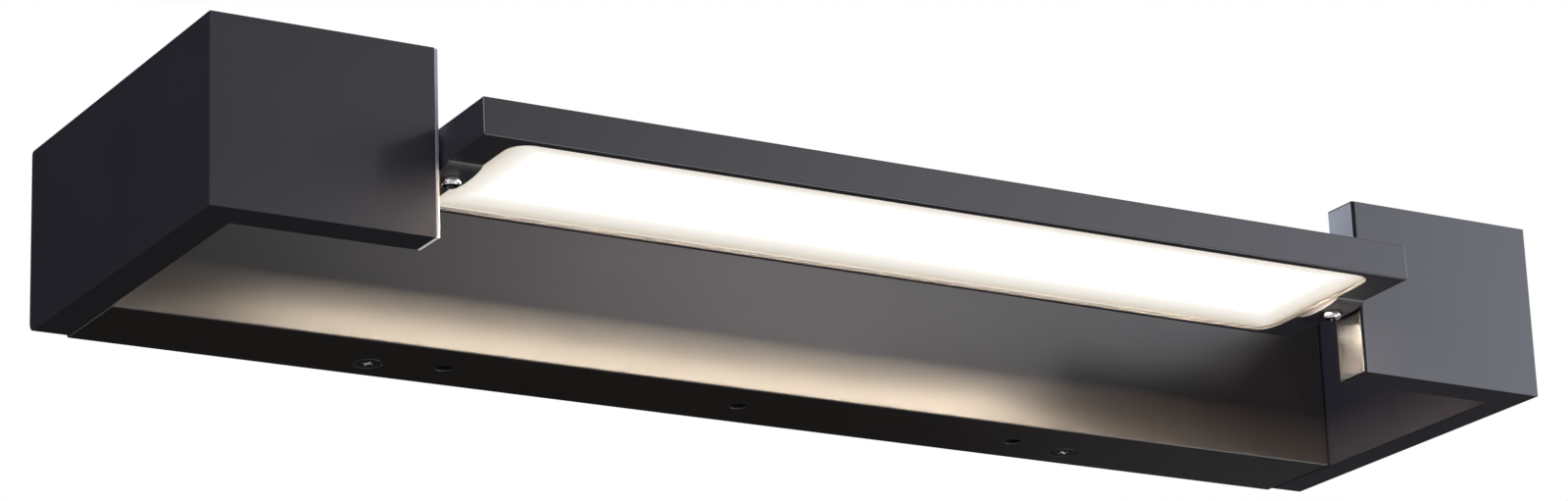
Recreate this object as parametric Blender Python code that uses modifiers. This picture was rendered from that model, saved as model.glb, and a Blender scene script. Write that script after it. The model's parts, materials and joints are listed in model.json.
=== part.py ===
"""LED wall light. A long black frame hangs on a wall bracket, and between the two flanges at its
front a slim lamp head tilts on two hollow pivots. The origin is the middle of the wall face:
+X runs to the right along the lamp, -Y points away from the wall and +Z is up. Lengths are metres.
"""
import math

import bmesh
import bpy
from mathutils import Matrix, Vector

# Whole light
LENGTH = 0.410
HEIGHT = 0.050
DEPTH = 0.115

# Clearances
SEAM = 0.0003
FIT = 0.0003
OVERRUN = 0.002
WELD = 0.00001

# End frames: an L-shaped sheet steel box at each end, a side wall with a flange at its front
FRAME_SHEET = 0.0012
SIDE_WALL = 0.010
FLANGE_THICKNESS = 0.011
FLANGE_LENGTH = 0.0608
REAR_CORNER = 0.002
SHEET_EDGE = 0.0004

# Flange caps: aluminium plates over the open ends of the flanges, located by two tongues
CAP_PLATE = 0.001
CAP_EDGE = 0.0003
CAP_TONGUE_LENGTH = 0.004
CAP_TONGUE_THICKNESS = 0.002

# Back housing: a sheet steel tray that is open towards the wall
HOUSING_DEPTH = 0.0305
HOUSING_SHEET = 0.0012
VENT_RADIUS = 0.0023
VENT_PITCH = 0.092
VENT_FROM_WALL = 0.0146

# Screws that hold the housing between the end frames
FRAME_SCREW_RADIUS = 0.0015
FRAME_SCREW_HEAD_RADIUS = 0.0028
FRAME_SCREW_HEAD_HEIGHT = 0.0018
FRAME_SCREW_LENGTH = 0.006
FRAME_SCREW_RISE = 0.014
COLLAR_WALL = 0.0012
COLLAR_LENGTH = 0.0025

# Countersunk screws that lock the housing to the bracket
LOCK_SCREW_FROM_END = 0.0924
LOCK_SCREW_FROM_WALL = 0.0105
LOCK_SCREW_RADIUS = 0.002
LOCK_HEAD_RADIUS = 0.004
LOCK_HEAD_HEIGHT = 0.0022
LOCK_SCREW_LENGTH = 0.010
DIMPLE_WALL = 0.001

# Wall bracket: a steel plate with lugs above and below
BRACKET_SHEET = 0.0015
BRACKET_END_ROOM = 0.045
LUG_WIDTH = 0.022
LUG_REACH = 0.016
CLINCH_NUT_RADIUS = 0.0036
CLINCH_NUT_HEIGHT = 0.003
WALL_SLOT_INSET = 0.010
WALL_SLOT_LENGTH = 0.012
WALL_SLOT_WIDTH = 0.005
CABLE_HOLE_RADIUS = 0.010
CABLE_HOLE_X = -0.025
BUSH_FLANGE = 0.002
BUSH_FLANGE_THICKNESS = 0.0015
BUSH_WALL = 0.002

# Terminal block and earth screw
TERMINAL_X = -0.052
TERMINAL_WIDTH = 0.016
TERMINAL_HEIGHT = 0.024
TERMINAL_DEPTH = 0.014
TERMINAL_EDGE = 0.0006
TERMINAL_POLES = 3
WIRE_HOLE_RADIUS = 0.0017
CLAMP_HOLE_RADIUS = 0.002
CLAMP_HOLE_DEPTH = 0.004
PEG_RADIUS = 0.002
EARTH_SCREW_X = -0.080
EARTH_SCREW_RADIUS = 0.002
EARTH_HEAD_RADIUS = 0.0038
EARTH_HEAD_HEIGHT = 0.0024

# Driver
DRIVER_LENGTH = 0.100
DRIVER_END_ROOM = 0.022
DRIVER_ROOM = 0.011
DRIVER_DEPTH = 0.020
DRIVER_EDGE = 0.0015
EAR_LENGTH = 0.008
EAR_THICKNESS = 0.002
EAR_STEP = 0.005
DRIVER_SCREW_RADIUS = 0.0015
DRIVER_SCREW_HEAD_RADIUS = 0.0028
DRIVER_SCREW_HEAD_HEIGHT = 0.0018

# Leads
MAINS_LEAD_RADIUS = 0.0022
MAINS_LEAD_SAG = 0.003
SUPPLY_LEAD_RADIUS = 0.0012
SUPPLY_CORNER_RADIUS = 0.008
SUPPLY_ENTRY_RADIUS = 0.004
GROMMET_NECK_RADIUS = 0.004
GROMMET_FLANGE = 0.0012
GROMMET_FLANGE_THICKNESS = 0.0008

# Lamp head: an aluminium slab, held in the photograph's pose by its two pivots
HEAD_SIDE_GAP = 0.0008
HEAD_THICKNESS = 0.0101
HEAD_FRONT = 0.0284
HEAD_REAR = 0.0262
HEAD_EDGE = 0.0004
HEAD_TILT_DEG = 1.5
HEAD_BLOCK = 0.0097
HEAD_FRONT_RIM = 0.0025
HEAD_REAR_RIM = 0.0018
HEAD_LEDGE = 0.0015
HEAD_TOP_SKIN = 0.0015
OPENING_CORNER = 0.006
LOBE_HALF_WIDTH = 0.009
LOBE_DEPTH = 0.00145
LOBE_INSET = 0.0001

# Pivots
PIVOT_DROP = 0.0008
SHAFT_RADIUS = 0.0025
SHAFT_BORE = 0.0016
SHAFT_GRIP = 0.0082
SHAFT_COLLAR_RADIUS = 0.004
SHAFT_COLLAR_THICKNESS = 0.0007
SHAFT_TAIL = 0.0006
BRAKE_GROOVE_DEPTH = 0.0003
BRAKE_GROOVE_WIDTH = 0.0038
FRICTION_WASHER = 0.0005
SPRING_WASHER = 0.0008
SPRING_WASHER_RADIUS = 0.0039
PIVOT_NUT_HEIGHT = 0.003
PIVOT_SCREW_INSET = 0.005
PIVOT_SCREW_RADIUS = 0.0015
PIVOT_SCREW_HEAD_RADIUS = 0.0026
PIVOT_SCREW_HEAD_HEIGHT = 0.0017
SPOT_FACE_DEPTH = 0.0002

# Diffuser and LED board
DIFFUSER_RECESS = 0.00095
DIFFUSER_THICKNESS = 0.002
DIFFUSER_EDGE = 0.0002
BOARD_THICKNESS = 0.001
BOARD_MARGIN = 0.0012
LED_COUNT = 22
LED_END_ROOM = 0.00925
LED_SIDE_ROOM = 0.0108
LED_LENGTH = 0.0035
LED_WIDTH = 0.0028
LED_HEIGHT = 0.0007
LED_ROOT = 0.0002
CONNECTOR_LENGTH = 0.005
CONNECTOR_WIDTH = 0.005
CONNECTOR_DROP = 0.0002
BOARD_SCREW_SPACING = 0.127
BOARD_SCREW_RADIUS = 0.001
BOARD_SCREW_HEAD_RADIUS = 0.0019
BOARD_SCREW_HEAD_HEIGHT = 0.0009
BOARD_SCREW_BITE = 0.0008

# Shares of the size that each one follows
RECESS_WIDTH_SHARE = 0.26
RECESS_REACH_SHARE = 0.62
RECESS_DEPTH_SHARE = 0.6
RECESS_TAPER_SHARE = 0.45
DOME_RADIUS_SHARE = 0.72
SLOT_CORNER_SHARE = 0.44

# How finely round shapes are drawn
ROUND_STEPS = 16
FINE_STEPS = 24
CORNER_STEPS = 6
EDGE_STEPS = 2
BEND_STEPS = 7
SAG_STEPS = 14

# Places that several pieces share
SIDE_INNER = LENGTH / 2 - SIDE_WALL
FLANGE_END = LENGTH / 2 - FLANGE_LENGTH
CAP_FACE = FLANGE_END - CAP_PLATE
HEAD_END = CAP_FACE - HEAD_SIDE_GAP
PIVOT_Y = -DEPTH + FLANGE_THICKNESS / 2
PIVOT_Z = -PIVOT_DROP
HOUSING_END = SIDE_INNER - SEAM
DRIVER_MID_Y = -(BRACKET_SHEET + FIT + DRIVER_DEPTH / 2)
BOARD_FRONT = -(BRACKET_SHEET + FIT)
OPENING_END = HEAD_END - HEAD_BLOCK
OPENING_FRONT = -HEAD_FRONT + HEAD_FRONT_RIM
OPENING_REAR = HEAD_REAR - HEAD_REAR_RIM
OPENING_DEPTH = DIFFUSER_RECESS + DIFFUSER_THICKNESS + FIT
HEAD_MIDDLE = (HEAD_REAR - HEAD_FRONT) / 2
UNDERSIDE = -HEAD_THICKNESS / 2
CEILING = HEAD_THICKNESS / 2 - HEAD_TOP_SKIN
FLANGE_CAVITY = FLANGE_THICKNESS - 2 * FRAME_SHEET
COUNTERBORE_DEPTH = SHAFT_COLLAR_THICKNESS + FRICTION_WASHER + 3 * FIT - HEAD_SIDE_GAP
COUNTERBORE_RADIUS = SHAFT_COLLAR_RADIUS + FIT
PIVOT_SCREW_X = HEAD_END - PIVOT_SCREW_INSET
LOCK_SCREW_X = LENGTH / 2 - LOCK_SCREW_FROM_END
DIMPLE_HEIGHT = LOCK_HEAD_HEIGHT + DIMPLE_WALL
LUG_LEVEL = -HEIGHT / 2 + DIMPLE_HEIGHT + FIT
BRACKET_TOP = HEIGHT / 2 - HOUSING_SHEET - FIT
BRACKET_END = LENGTH / 2 - BRACKET_END_ROOM
DRIVER_HEIGHT = HEIGHT - 2 * DRIVER_ROOM
DRIVER_X = BRACKET_END - DRIVER_END_ROOM - EAR_LENGTH - DRIVER_LENGTH / 2
EAR_HEIGHT = DRIVER_HEIGHT - 2 * EAR_STEP

PARTS = "led_wall_light"
CUTTERS = "cutters"


# Scene and helpers

def start_scene():
    """Empties the scene and makes the two collections."""
    for obj in list(bpy.data.objects):
        bpy.data.objects.remove(obj, do_unlink=True)
    for name in (PARTS, CUTTERS):
        collection = bpy.data.collections.new(name)
        bpy.context.scene.collection.children.link(collection)


def material(name, colour, roughness, metallic=0.0):
    """A plain Principled material."""
    made = bpy.data.materials.new(name)
    made.use_nodes = True
    shader = made.node_tree.nodes["Principled BSDF"]
    shader.inputs["Base Color"].default_value = (*colour, 1.0)
    shader.inputs["Roughness"].default_value = roughness
    shader.inputs["Metallic"].default_value = metallic
    return made


def part(name, mesh, location=(0, 0, 0), rotation=(0, 0, 0), parent=None, collection=PARTS):
    """An object for a finished mesh, placed and parented."""
    obj = bpy.data.objects.new(name, mesh)
    bpy.data.collections[collection].objects.link(obj)
    obj.location = location
    obj.rotation_euler = rotation
    obj.parent = parent
    if collection == CUTTERS:
        obj.hide_render = True
        obj.display_type = "WIRE"
    return obj


def painted(obj, look):
    """Gives an object its one material and returns it."""
    obj.data.materials.clear()
    obj.data.materials.append(look)
    return obj


def box_mesh(name, low, high, corner=0.0, corner_axis=2, steps=CORNER_STEPS):
    """A box between two corners, with the edges along one axis rounded if a corner radius is given."""
    form = bmesh.new()
    low = Vector(low)
    high = Vector(high)
    size = Matrix.Diagonal((high - low).to_4d())
    size[3][3] = 1.0
    bmesh.ops.create_cube(form, size=1.0, matrix=Matrix.Translation((low + high) / 2) @ size)
    if corner:
        upright = []
        for edge in form.edges:
            along = (edge.verts[0].co - edge.verts[1].co).normalized()
            if abs(along[corner_axis]) > 0.5:
                upright.append(edge)
        bmesh.ops.bevel(form, geom=upright, offset=corner, segments=steps, profile=0.5, affect="EDGES")
    mesh = bpy.data.meshes.new(name)
    form.to_mesh(mesh)
    form.free()
    return mesh


def rod_mesh(name, radius, low, high, radius_high=None, sides=ROUND_STEPS):
    """A cylinder or cone along local Z between two heights."""
    form = bmesh.new()
    top = radius if radius_high is None else radius_high
    bmesh.ops.create_cone(form, cap_ends=True, segments=sides, radius1=radius, radius2=top,
                          depth=high - low, matrix=Matrix.Translation((0, 0, (low + high) / 2)))
    mesh = bpy.data.meshes.new(name)
    form.to_mesh(mesh)
    form.free()
    return mesh


def turned_mesh(name, profile, closed=False, steps=ROUND_STEPS):
    """A turned shape: a profile of (radius, height) that runs down its outer side, spun about Z."""
    outline = bpy.data.meshes.new(name + "_profile")
    points = [(radius, 0, height) for radius, height in profile]
    edges = [(i, i + 1) for i in range(len(points) - 1)]
    if closed:
        edges.append((len(points) - 1, 0))
    outline.from_pydata(points, edges, [])
    obj = part(name + "_turning", outline)
    spin = obj.modifiers.new("turn", "SCREW")
    spin.axis = "Z"
    spin.angle = 2 * math.pi
    spin.steps = steps
    spin.render_steps = steps
    spin.use_merge_vertices = True
    spin.merge_threshold = WELD
    return settled(obj, name)


def settled(obj, name, helpers=()):
    """The evaluated mesh of an object, whose modifiers, cutters and object are then removed."""
    bpy.context.view_layer.update()
    graph = bpy.context.evaluated_depsgraph_get()
    mesh = bpy.data.meshes.new_from_object(obj.evaluated_get(graph))
    mesh.name = name
    for used in (obj, *helpers):
        bpy.data.objects.remove(used, do_unlink=True)
    return mesh


def bevelled(obj, width, segments=EDGE_STEPS):
    """Rounds every sharp edge of an object."""
    bevel = obj.modifiers.new("edges", "BEVEL")
    bevel.width = width
    bevel.segments = segments
    bevel.limit_method = "ANGLE"
    bevel.angle_limit = math.radians(40)
    return obj


def walled(obj, thickness):
    """Gives an open surface its wall, inwards."""
    wall = obj.modifiers.new("wall", "SOLIDIFY")
    wall.thickness = thickness
    wall.offset = -1
    wall.use_even_offset = True
    return obj


def combined(obj, other, operation="DIFFERENCE"):
    """Cuts an object with another, or joins the other to it."""
    step = obj.modifiers.new(operation.lower(), "BOOLEAN")
    step.operation = operation
    step.solver = "EXACT"
    step.object = other
    return obj


def tool_piece(name, mesh, location=(0, 0, 0), rotation=(0, 0, 0), parent=None):
    """An object that only cuts or joins."""
    return part(name, mesh, location, rotation, parent, CUTTERS)


def soften(obj, angle=35):
    """Shades the round faces smooth and keeps the sharp edges."""
    obj.data.shade_smooth()
    obj.data.set_sharp_from_angle(angle=math.radians(angle))
    return obj


def cross_mesh(name, width, reach, depth):
    """A cross-shaped driver bit that points along local Z and narrows towards its tip."""
    form = bmesh.new()
    core = Matrix.Diagonal((width, width, depth, 1.0))
    bmesh.ops.create_cube(form, size=1.0, matrix=Matrix.Translation((0, 0, depth / 2)) @ core)
    sides = [face for face in form.faces if abs(face.normal.z) < 0.5]
    for face in sides:
        along = face.normal.copy()
        grown = bmesh.ops.extrude_face_region(form, geom=[face])
        moved = [item for item in grown["geom"] if isinstance(item, bmesh.types.BMVert)]
        bmesh.ops.translate(form, verts=moved, vec=along * (reach - width / 2))
        bmesh.ops.delete(form, geom=[face], context="FACES_ONLY")
    for vert in form.verts:
        if vert.co.z > depth / 2:
            vert.co.x *= RECESS_TAPER_SHARE
            vert.co.y *= RECESS_TAPER_SHARE
    bmesh.ops.recalc_face_normals(form, faces=form.faces)
    mesh = bpy.data.meshes.new(name)
    form.to_mesh(mesh)
    form.free()
    return mesh


def screw_mesh(name, profile, head_radius, head_height):
    """A cross-recess screw that points along local Z, with the outer face of its head at zero."""
    body = part(name + "_blank", turned_mesh(name, profile))
    sunk = head_height * RECESS_DEPTH_SHARE
    overrun = head_height
    bit_mesh = cross_mesh(name + "_bit", head_radius * RECESS_WIDTH_SHARE,
                          head_radius * RECESS_REACH_SHARE, sunk + overrun)
    bit = tool_piece(name + "_bit", bit_mesh, (0, 0, -overrun))
    combined(body, bit)
    return settled(body, name, [bit])


def pan_screw_mesh(name, radius, head_radius, head_height, length):
    """A pan-head screw; its length is measured under the head."""
    dome = head_height * (1 - DOME_RADIUS_SHARE)
    profile = [(0, head_height + length), (radius, head_height + length), (radius, head_height),
               (head_radius, head_height), (head_radius, dome), (head_radius * DOME_RADIUS_SHARE, 0), (0, 0)]
    return screw_mesh(name, profile, head_radius, head_height)


def countersunk_mesh(name, radius, head_radius, head_height, length):
    """A countersunk screw; its length is measured over all."""
    land = head_height * (1 - DOME_RADIUS_SHARE) / 2
    profile = [(0, length), (radius, length), (radius, head_height), (head_radius, land),
               (head_radius, 0), (0, 0)]
    return screw_mesh(name, profile, head_radius, head_height)


def ring_mesh(name, inner, outer, low, high, steps=ROUND_STEPS):
    """A flat ring about local Z."""
    return turned_mesh(name, [(outer, high), (outer, low), (inner, low), (inner, high)], True, steps)


def lead_mesh(name, route, radius):
    """A round lead along a route, as a closed mesh."""
    curve = bpy.data.curves.new(name, "CURVE")
    curve.dimensions = "3D"
    curve.bevel_depth = radius
    curve.bevel_resolution = 2
    curve.use_fill_caps = True
    spline = curve.splines.new("POLY")
    spline.points.add(len(route) - 1)
    for point, place in zip(spline.points, route):
        point.co = (*place, 1.0)
    obj = bpy.data.objects.new(name + "_route", curve)
    bpy.data.collections[PARTS].objects.link(obj)
    mesh = settled(obj, name)
    form = bmesh.new()
    form.from_mesh(mesh)
    bmesh.ops.remove_doubles(form, verts=form.verts, dist=WELD)
    bmesh.ops.recalc_face_normals(form, faces=form.faces)
    form.to_mesh(mesh)
    form.free()
    return mesh


def corner_arc(corner, before, after, radius):
    """Points of a rounded corner between two straight runs that meet at right angles."""
    back = (Vector(before) - Vector(corner)).normalized()
    ahead = (Vector(after) - Vector(corner)).normalized()
    centre = Vector(corner) + (back + ahead) * radius
    points = []
    for i in range(BEND_STEPS + 1):
        turn = math.pi / 2 * i / BEND_STEPS
        points.append(centre - ahead * radius * math.cos(turn) - back * radius * math.sin(turn))
    return points


# Directions, as turns of local Z
TO_RIGHT = (0, math.pi / 2, 0)
TO_LEFT = (0, -math.pi / 2, 0)
TO_FRONT = (math.pi / 2, 0, 0)
TO_WALL = (-math.pi / 2, 0, 0)


def outwards(side):
    """The turn that points local Z away from the middle on the given side."""
    return TO_RIGHT if side > 0 else TO_LEFT


# Pieces of the frame

def frame_cage_mesh(name, side):
    """The outer skin of an end frame, open at the flange's end."""
    form = bmesh.new()
    size = Matrix.Diagonal((SIDE_WALL, DEPTH, HEIGHT, 1.0))
    middle = Matrix.Translation((side * (LENGTH / 2 - SIDE_WALL / 2), -DEPTH / 2, 0))
    bmesh.ops.create_cube(form, size=1.0, matrix=middle @ size)
    everything = form.verts[:] + form.edges[:] + form.faces[:]
    flange_back = -DEPTH + FLANGE_THICKNESS
    bmesh.ops.bisect_plane(form, geom=everything, plane_co=(0, flange_back, 0), plane_no=(0, 1, 0))
    inner = None
    for face in form.faces:
        centre = face.calc_center_median()
        if face.normal.x * side < -0.5 and centre.y < flange_back:
            inner = face
    grown = bmesh.ops.extrude_face_region(form, geom=[inner])
    moved = [item for item in grown["geom"] if isinstance(item, bmesh.types.BMVert)]
    bmesh.ops.translate(form, verts=moved, vec=(-side * (FLANGE_LENGTH - SIDE_WALL), 0, 0))
    bmesh.ops.delete(form, geom=[inner], context="FACES_ONLY")
    bmesh.ops.recalc_face_normals(form, faces=form.faces)
    rear = []
    for edge in form.edges:
        low, high = (vert.co for vert in edge.verts)
        if abs(low.y) < WELD and abs(high.y) < WELD and abs(low.z - high.z) < WELD:
            rear.append(edge)
    bmesh.ops.bevel(form, geom=rear, offset=REAR_CORNER, segments=CORNER_STEPS // 2, profile=0.5,
                    affect="EDGES")
    mouth = [face for face in form.faces
             if face.normal.x * side < -0.5 and abs(face.calc_center_median().x * side - FLANGE_END) < WELD]
    bmesh.ops.delete(form, geom=mouth, context="FACES")
    mesh = bpy.data.meshes.new(name)
    form.to_mesh(mesh)
    form.free()
    return mesh


def end_frame(side, word, look):
    """One L-shaped end: side wall and flange, with threaded collars for the housing's screws."""
    frame = part("end_frame_" + word, frame_cage_mesh("end_frame_" + word, side))
    walled(frame, FRAME_SHEET)
    bevelled(frame, SHEET_EDGE)
    skin = SIDE_INNER + FRAME_SHEET
    collar_radius = FRAME_SCREW_RADIUS + FIT + COLLAR_WALL
    for row, tag in ((1, "top"), (-1, "bottom")):
        spot = (side * skin, -HOUSING_DEPTH / 2, row * FRAME_SCREW_RISE)
        collar = rod_mesh("collar", collar_radius, -FRAME_SHEET / 2, COLLAR_LENGTH)
        collar = tool_piece(f"collar_{word}_{tag}", collar, spot, outwards(side))
        combined(frame, collar, "UNION")
        hole = rod_mesh("thread", FRAME_SCREW_RADIUS + FIT, -FRAME_SHEET - OVERRUN, COLLAR_LENGTH + OVERRUN)
        combined(frame, tool_piece(f"thread_{word}_{tag}", hole, spot, outwards(side)))
    if side > 0:
        hole = rod_mesh("lead_hole", GROMMET_NECK_RADIUS + FIT, -OVERRUN, FRAME_SHEET + OVERRUN)
        spot = (SIDE_INNER, DRIVER_MID_Y, PIVOT_Z)
        combined(frame, tool_piece("lead_hole_frame", hole, spot, TO_RIGHT))
    return painted(frame, look)


def flange_cap(side, word, look):
    """The plate over a flange's end, with its two tongues and the pivot's hole."""
    plate = box_mesh("flange_cap_" + word, (0, -FLANGE_THICKNESS / 2, -HEIGHT / 2),
                     (CAP_PLATE - FIT, FLANGE_THICKNESS / 2, HEIGHT / 2))
    if side < 0:
        turn = (0, 0, math.pi)
    else:
        turn = (0, 0, 0)
    cap = part("flange_cap_" + word, plate, (side * CAP_FACE, PIVOT_Y, 0), turn)
    bevelled(cap, CAP_EDGE)
    half = FLANGE_CAVITY / 2 - FIT
    outer = HEIGHT / 2 - FRAME_SHEET - FIT
    for row, tag in ((1, "top"), (-1, "bottom")):
        rows = sorted((row * outer, row * (outer - CAP_TONGUE_THICKNESS)))
        tongue = box_mesh("tongue", (CAP_PLATE / 2, -half, rows[0]),
                          (CAP_PLATE + CAP_TONGUE_LENGTH, half, rows[1]))
        tongue = tool_piece(f"tongue_{word}_{tag}", tongue, (side * CAP_FACE, PIVOT_Y, 0), turn)
        combined(cap, tongue, "UNION")
    hole = rod_mesh("pivot_hole", SHAFT_RADIUS + FIT, -OVERRUN, CAP_PLATE + OVERRUN)
    spot = (side * CAP_FACE, PIVOT_Y, PIVOT_Z)
    combined(cap, tool_piece("pivot_hole_" + word, hole, spot, outwards(side)))
    return painted(cap, look)


def back_housing(look):
    """The tray between the end frames, with dimples for the lock screws and three small vents."""
    low = (-HOUSING_END, -HOUSING_DEPTH, -HEIGHT / 2)
    high = (HOUSING_END, 0, HEIGHT / 2)
    mesh = box_mesh("back_housing", low, high)
    form = bmesh.new()
    form.from_mesh(mesh)
    rear = [face for face in form.faces if face.normal.y > 0.5]
    bmesh.ops.delete(form, geom=rear, context="FACES")
    form.to_mesh(mesh)
    form.free()
    housing = part("back_housing", mesh)
    walled(housing, HOUSING_SHEET)
    bevelled(housing, SHEET_EDGE)
    for side, word in ((-1, "left"), (1, "right")):
        spot = (side * LOCK_SCREW_X, -LOCK_SCREW_FROM_WALL, -HEIGHT / 2)
        wide = LOCK_HEAD_RADIUS + FIT + DIMPLE_WALL
        narrow = LOCK_SCREW_RADIUS + FIT + DIMPLE_WALL
        dimple = rod_mesh("dimple", wide, HOUSING_SHEET / 2, DIMPLE_HEIGHT, narrow)
        combined(housing, tool_piece("dimple_" + word, dimple, spot), "UNION")
        slope = (LOCK_HEAD_RADIUS - LOCK_SCREW_RADIUS) / LOCK_HEAD_HEIGHT
        mouth = LOCK_HEAD_RADIUS + FIT + slope * OVERRUN
        sink = rod_mesh("countersink", mouth, -OVERRUN, LOCK_HEAD_HEIGHT, LOCK_SCREW_RADIUS + FIT)
        combined(housing, tool_piece("countersink_" + word, sink, spot))
        hole = rod_mesh("lock_hole", LOCK_SCREW_RADIUS + FIT, -OVERRUN, DIMPLE_HEIGHT + OVERRUN)
        combined(housing, tool_piece("lock_hole_" + word, hole, spot))
        for row, tag in ((1, "top"), (-1, "bottom")):
            spot = (side * HOUSING_END, -HOUSING_DEPTH / 2, row * FRAME_SCREW_RISE)
            hole = rod_mesh("side_hole", FRAME_SCREW_RADIUS + FIT, -HOUSING_SHEET - OVERRUN, OVERRUN)
            combined(housing, tool_piece(f"side_hole_{word}_{tag}", hole, spot, outwards(side)))
    for step in (-1, 0, 1):
        vent = rod_mesh("vent", VENT_RADIUS, -OVERRUN, HOUSING_SHEET + OVERRUN)
        spot = (step * VENT_PITCH, -VENT_FROM_WALL, -HEIGHT / 2)
        combined(housing, tool_piece(f"vent_{step + 2}", vent, spot))
    hole = rod_mesh("lead_hole", GROMMET_NECK_RADIUS + FIT, -HOUSING_SHEET - OVERRUN, OVERRUN)
    combined(housing, tool_piece("lead_hole_housing", hole, (HOUSING_END, DRIVER_MID_Y, PIVOT_Z), TO_RIGHT))
    return painted(housing, look)


def frame_screws(look):
    """Four pan-head screws from inside the housing into the end frames' collars."""
    mesh = pan_screw_mesh("frame_screw", FRAME_SCREW_RADIUS, FRAME_SCREW_HEAD_RADIUS,
                          FRAME_SCREW_HEAD_HEIGHT, FRAME_SCREW_LENGTH)
    head_face = HOUSING_END - HOUSING_SHEET - FIT - FRAME_SCREW_HEAD_HEIGHT
    for side, word in ((-1, "left"), (1, "right")):
        for row, tag in ((1, "top"), (-1, "bottom")):
            spot = (side * head_face, -HOUSING_DEPTH / 2, row * FRAME_SCREW_RISE)
            screw = part(f"frame_screw_{word}_{tag}", mesh, spot, outwards(side))
            soften(painted(screw, look))


# Bracket and what it carries

def wall_bracket(look):
    """The plate on the wall, with two lugs above and two below."""
    low = (-BRACKET_END, -BRACKET_SHEET, LUG_LEVEL)
    bracket = part("wall_bracket", box_mesh("wall_bracket", low, (BRACKET_END, 0, BRACKET_TOP)))
    for side, word in ((-1, "left"), (1, "right")):
        middle = side * LOCK_SCREW_X
        for base, tag in ((BRACKET_TOP - BRACKET_SHEET, "top"), (LUG_LEVEL, "bottom")):
            lug = box_mesh("lug", (middle - LUG_WIDTH / 2, -LUG_REACH, base),
                           (middle + LUG_WIDTH / 2, -BRACKET_SHEET / 2, base + BRACKET_SHEET))
            combined(bracket, tool_piece(f"lug_{word}_{tag}", lug), "UNION")
        hole = rod_mesh("lug_hole", LOCK_SCREW_RADIUS + FIT, -OVERRUN, BRACKET_SHEET + OVERRUN)
        spot = (middle, -LOCK_SCREW_FROM_WALL, LUG_LEVEL)
        combined(bracket, tool_piece("lug_hole_" + word, hole, spot))
        centre = side * (BRACKET_END - WALL_SLOT_INSET)
        low_end = (centre - WALL_SLOT_LENGTH / 2, -BRACKET_SHEET - OVERRUN, -WALL_SLOT_WIDTH / 2)
        high_end = (centre + WALL_SLOT_LENGTH / 2, OVERRUN, WALL_SLOT_WIDTH / 2)
        slot = box_mesh("slot", low_end, high_end, WALL_SLOT_WIDTH * SLOT_CORNER_SHARE, 1)
        combined(bracket, tool_piece("slot_" + word, slot))
        ear = DRIVER_X + side * (DRIVER_LENGTH + EAR_LENGTH) / 2
        hole = rod_mesh("driver_hole", DRIVER_SCREW_RADIUS + FIT, -OVERRUN, BRACKET_SHEET + OVERRUN)
        combined(bracket, tool_piece("driver_hole_" + word, hole, (ear, 0, 0), TO_FRONT))
    for name, radius, place in (("cable_hole", CABLE_HOLE_RADIUS, CABLE_HOLE_X),
                                ("peg_hole", PEG_RADIUS + FIT, TERMINAL_X),
                                ("earth_hole", EARTH_SCREW_RADIUS + FIT, EARTH_SCREW_X)):
        hole = rod_mesh(name, radius, -OVERRUN, BRACKET_SHEET + OVERRUN)
        combined(bracket, tool_piece(name, hole, (place, 0, 0), TO_FRONT))
    return painted(bracket, look)


def lock_screws(screw_look, nut_look):
    """Countersunk screws through the housing's underside, with the nuts they turn in."""
    screw_shape = countersunk_mesh("lock_screw", LOCK_SCREW_RADIUS, LOCK_HEAD_RADIUS, LOCK_HEAD_HEIGHT,
                                   LOCK_SCREW_LENGTH)
    nut_shape = ring_mesh("clinch_nut", LOCK_SCREW_RADIUS + FIT, CLINCH_NUT_RADIUS, 0, CLINCH_NUT_HEIGHT)
    for side, word in ((-1, "left"), (1, "right")):
        place = (side * LOCK_SCREW_X, -LOCK_SCREW_FROM_WALL)
        screw = part("lock_screw_" + word, screw_shape, (*place, -HEIGHT / 2))
        soften(painted(screw, screw_look))
        nut = part("clinch_nut_" + word, nut_shape, (*place, LUG_LEVEL + BRACKET_SHEET + FIT))
        soften(painted(nut, nut_look))


def cable_grommet(look):
    """The rubber grommet that lines the bracket's cable entry."""
    neck = CABLE_HOLE_RADIUS - FIT
    bore = neck - BUSH_WALL
    flange = CABLE_HOLE_RADIUS + BUSH_FLANGE
    under = BRACKET_SHEET + FIT
    top = under + BUSH_FLANGE_THICKNESS
    profile = [(flange, top), (flange, under), (neck, under), (neck, FIT), (bore, FIT), (bore, top)]
    mesh = turned_mesh("cable_grommet", profile, True, FINE_STEPS)
    return soften(painted(part("cable_grommet", mesh, (CABLE_HOLE_X, 0, 0), TO_FRONT), look))


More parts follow.
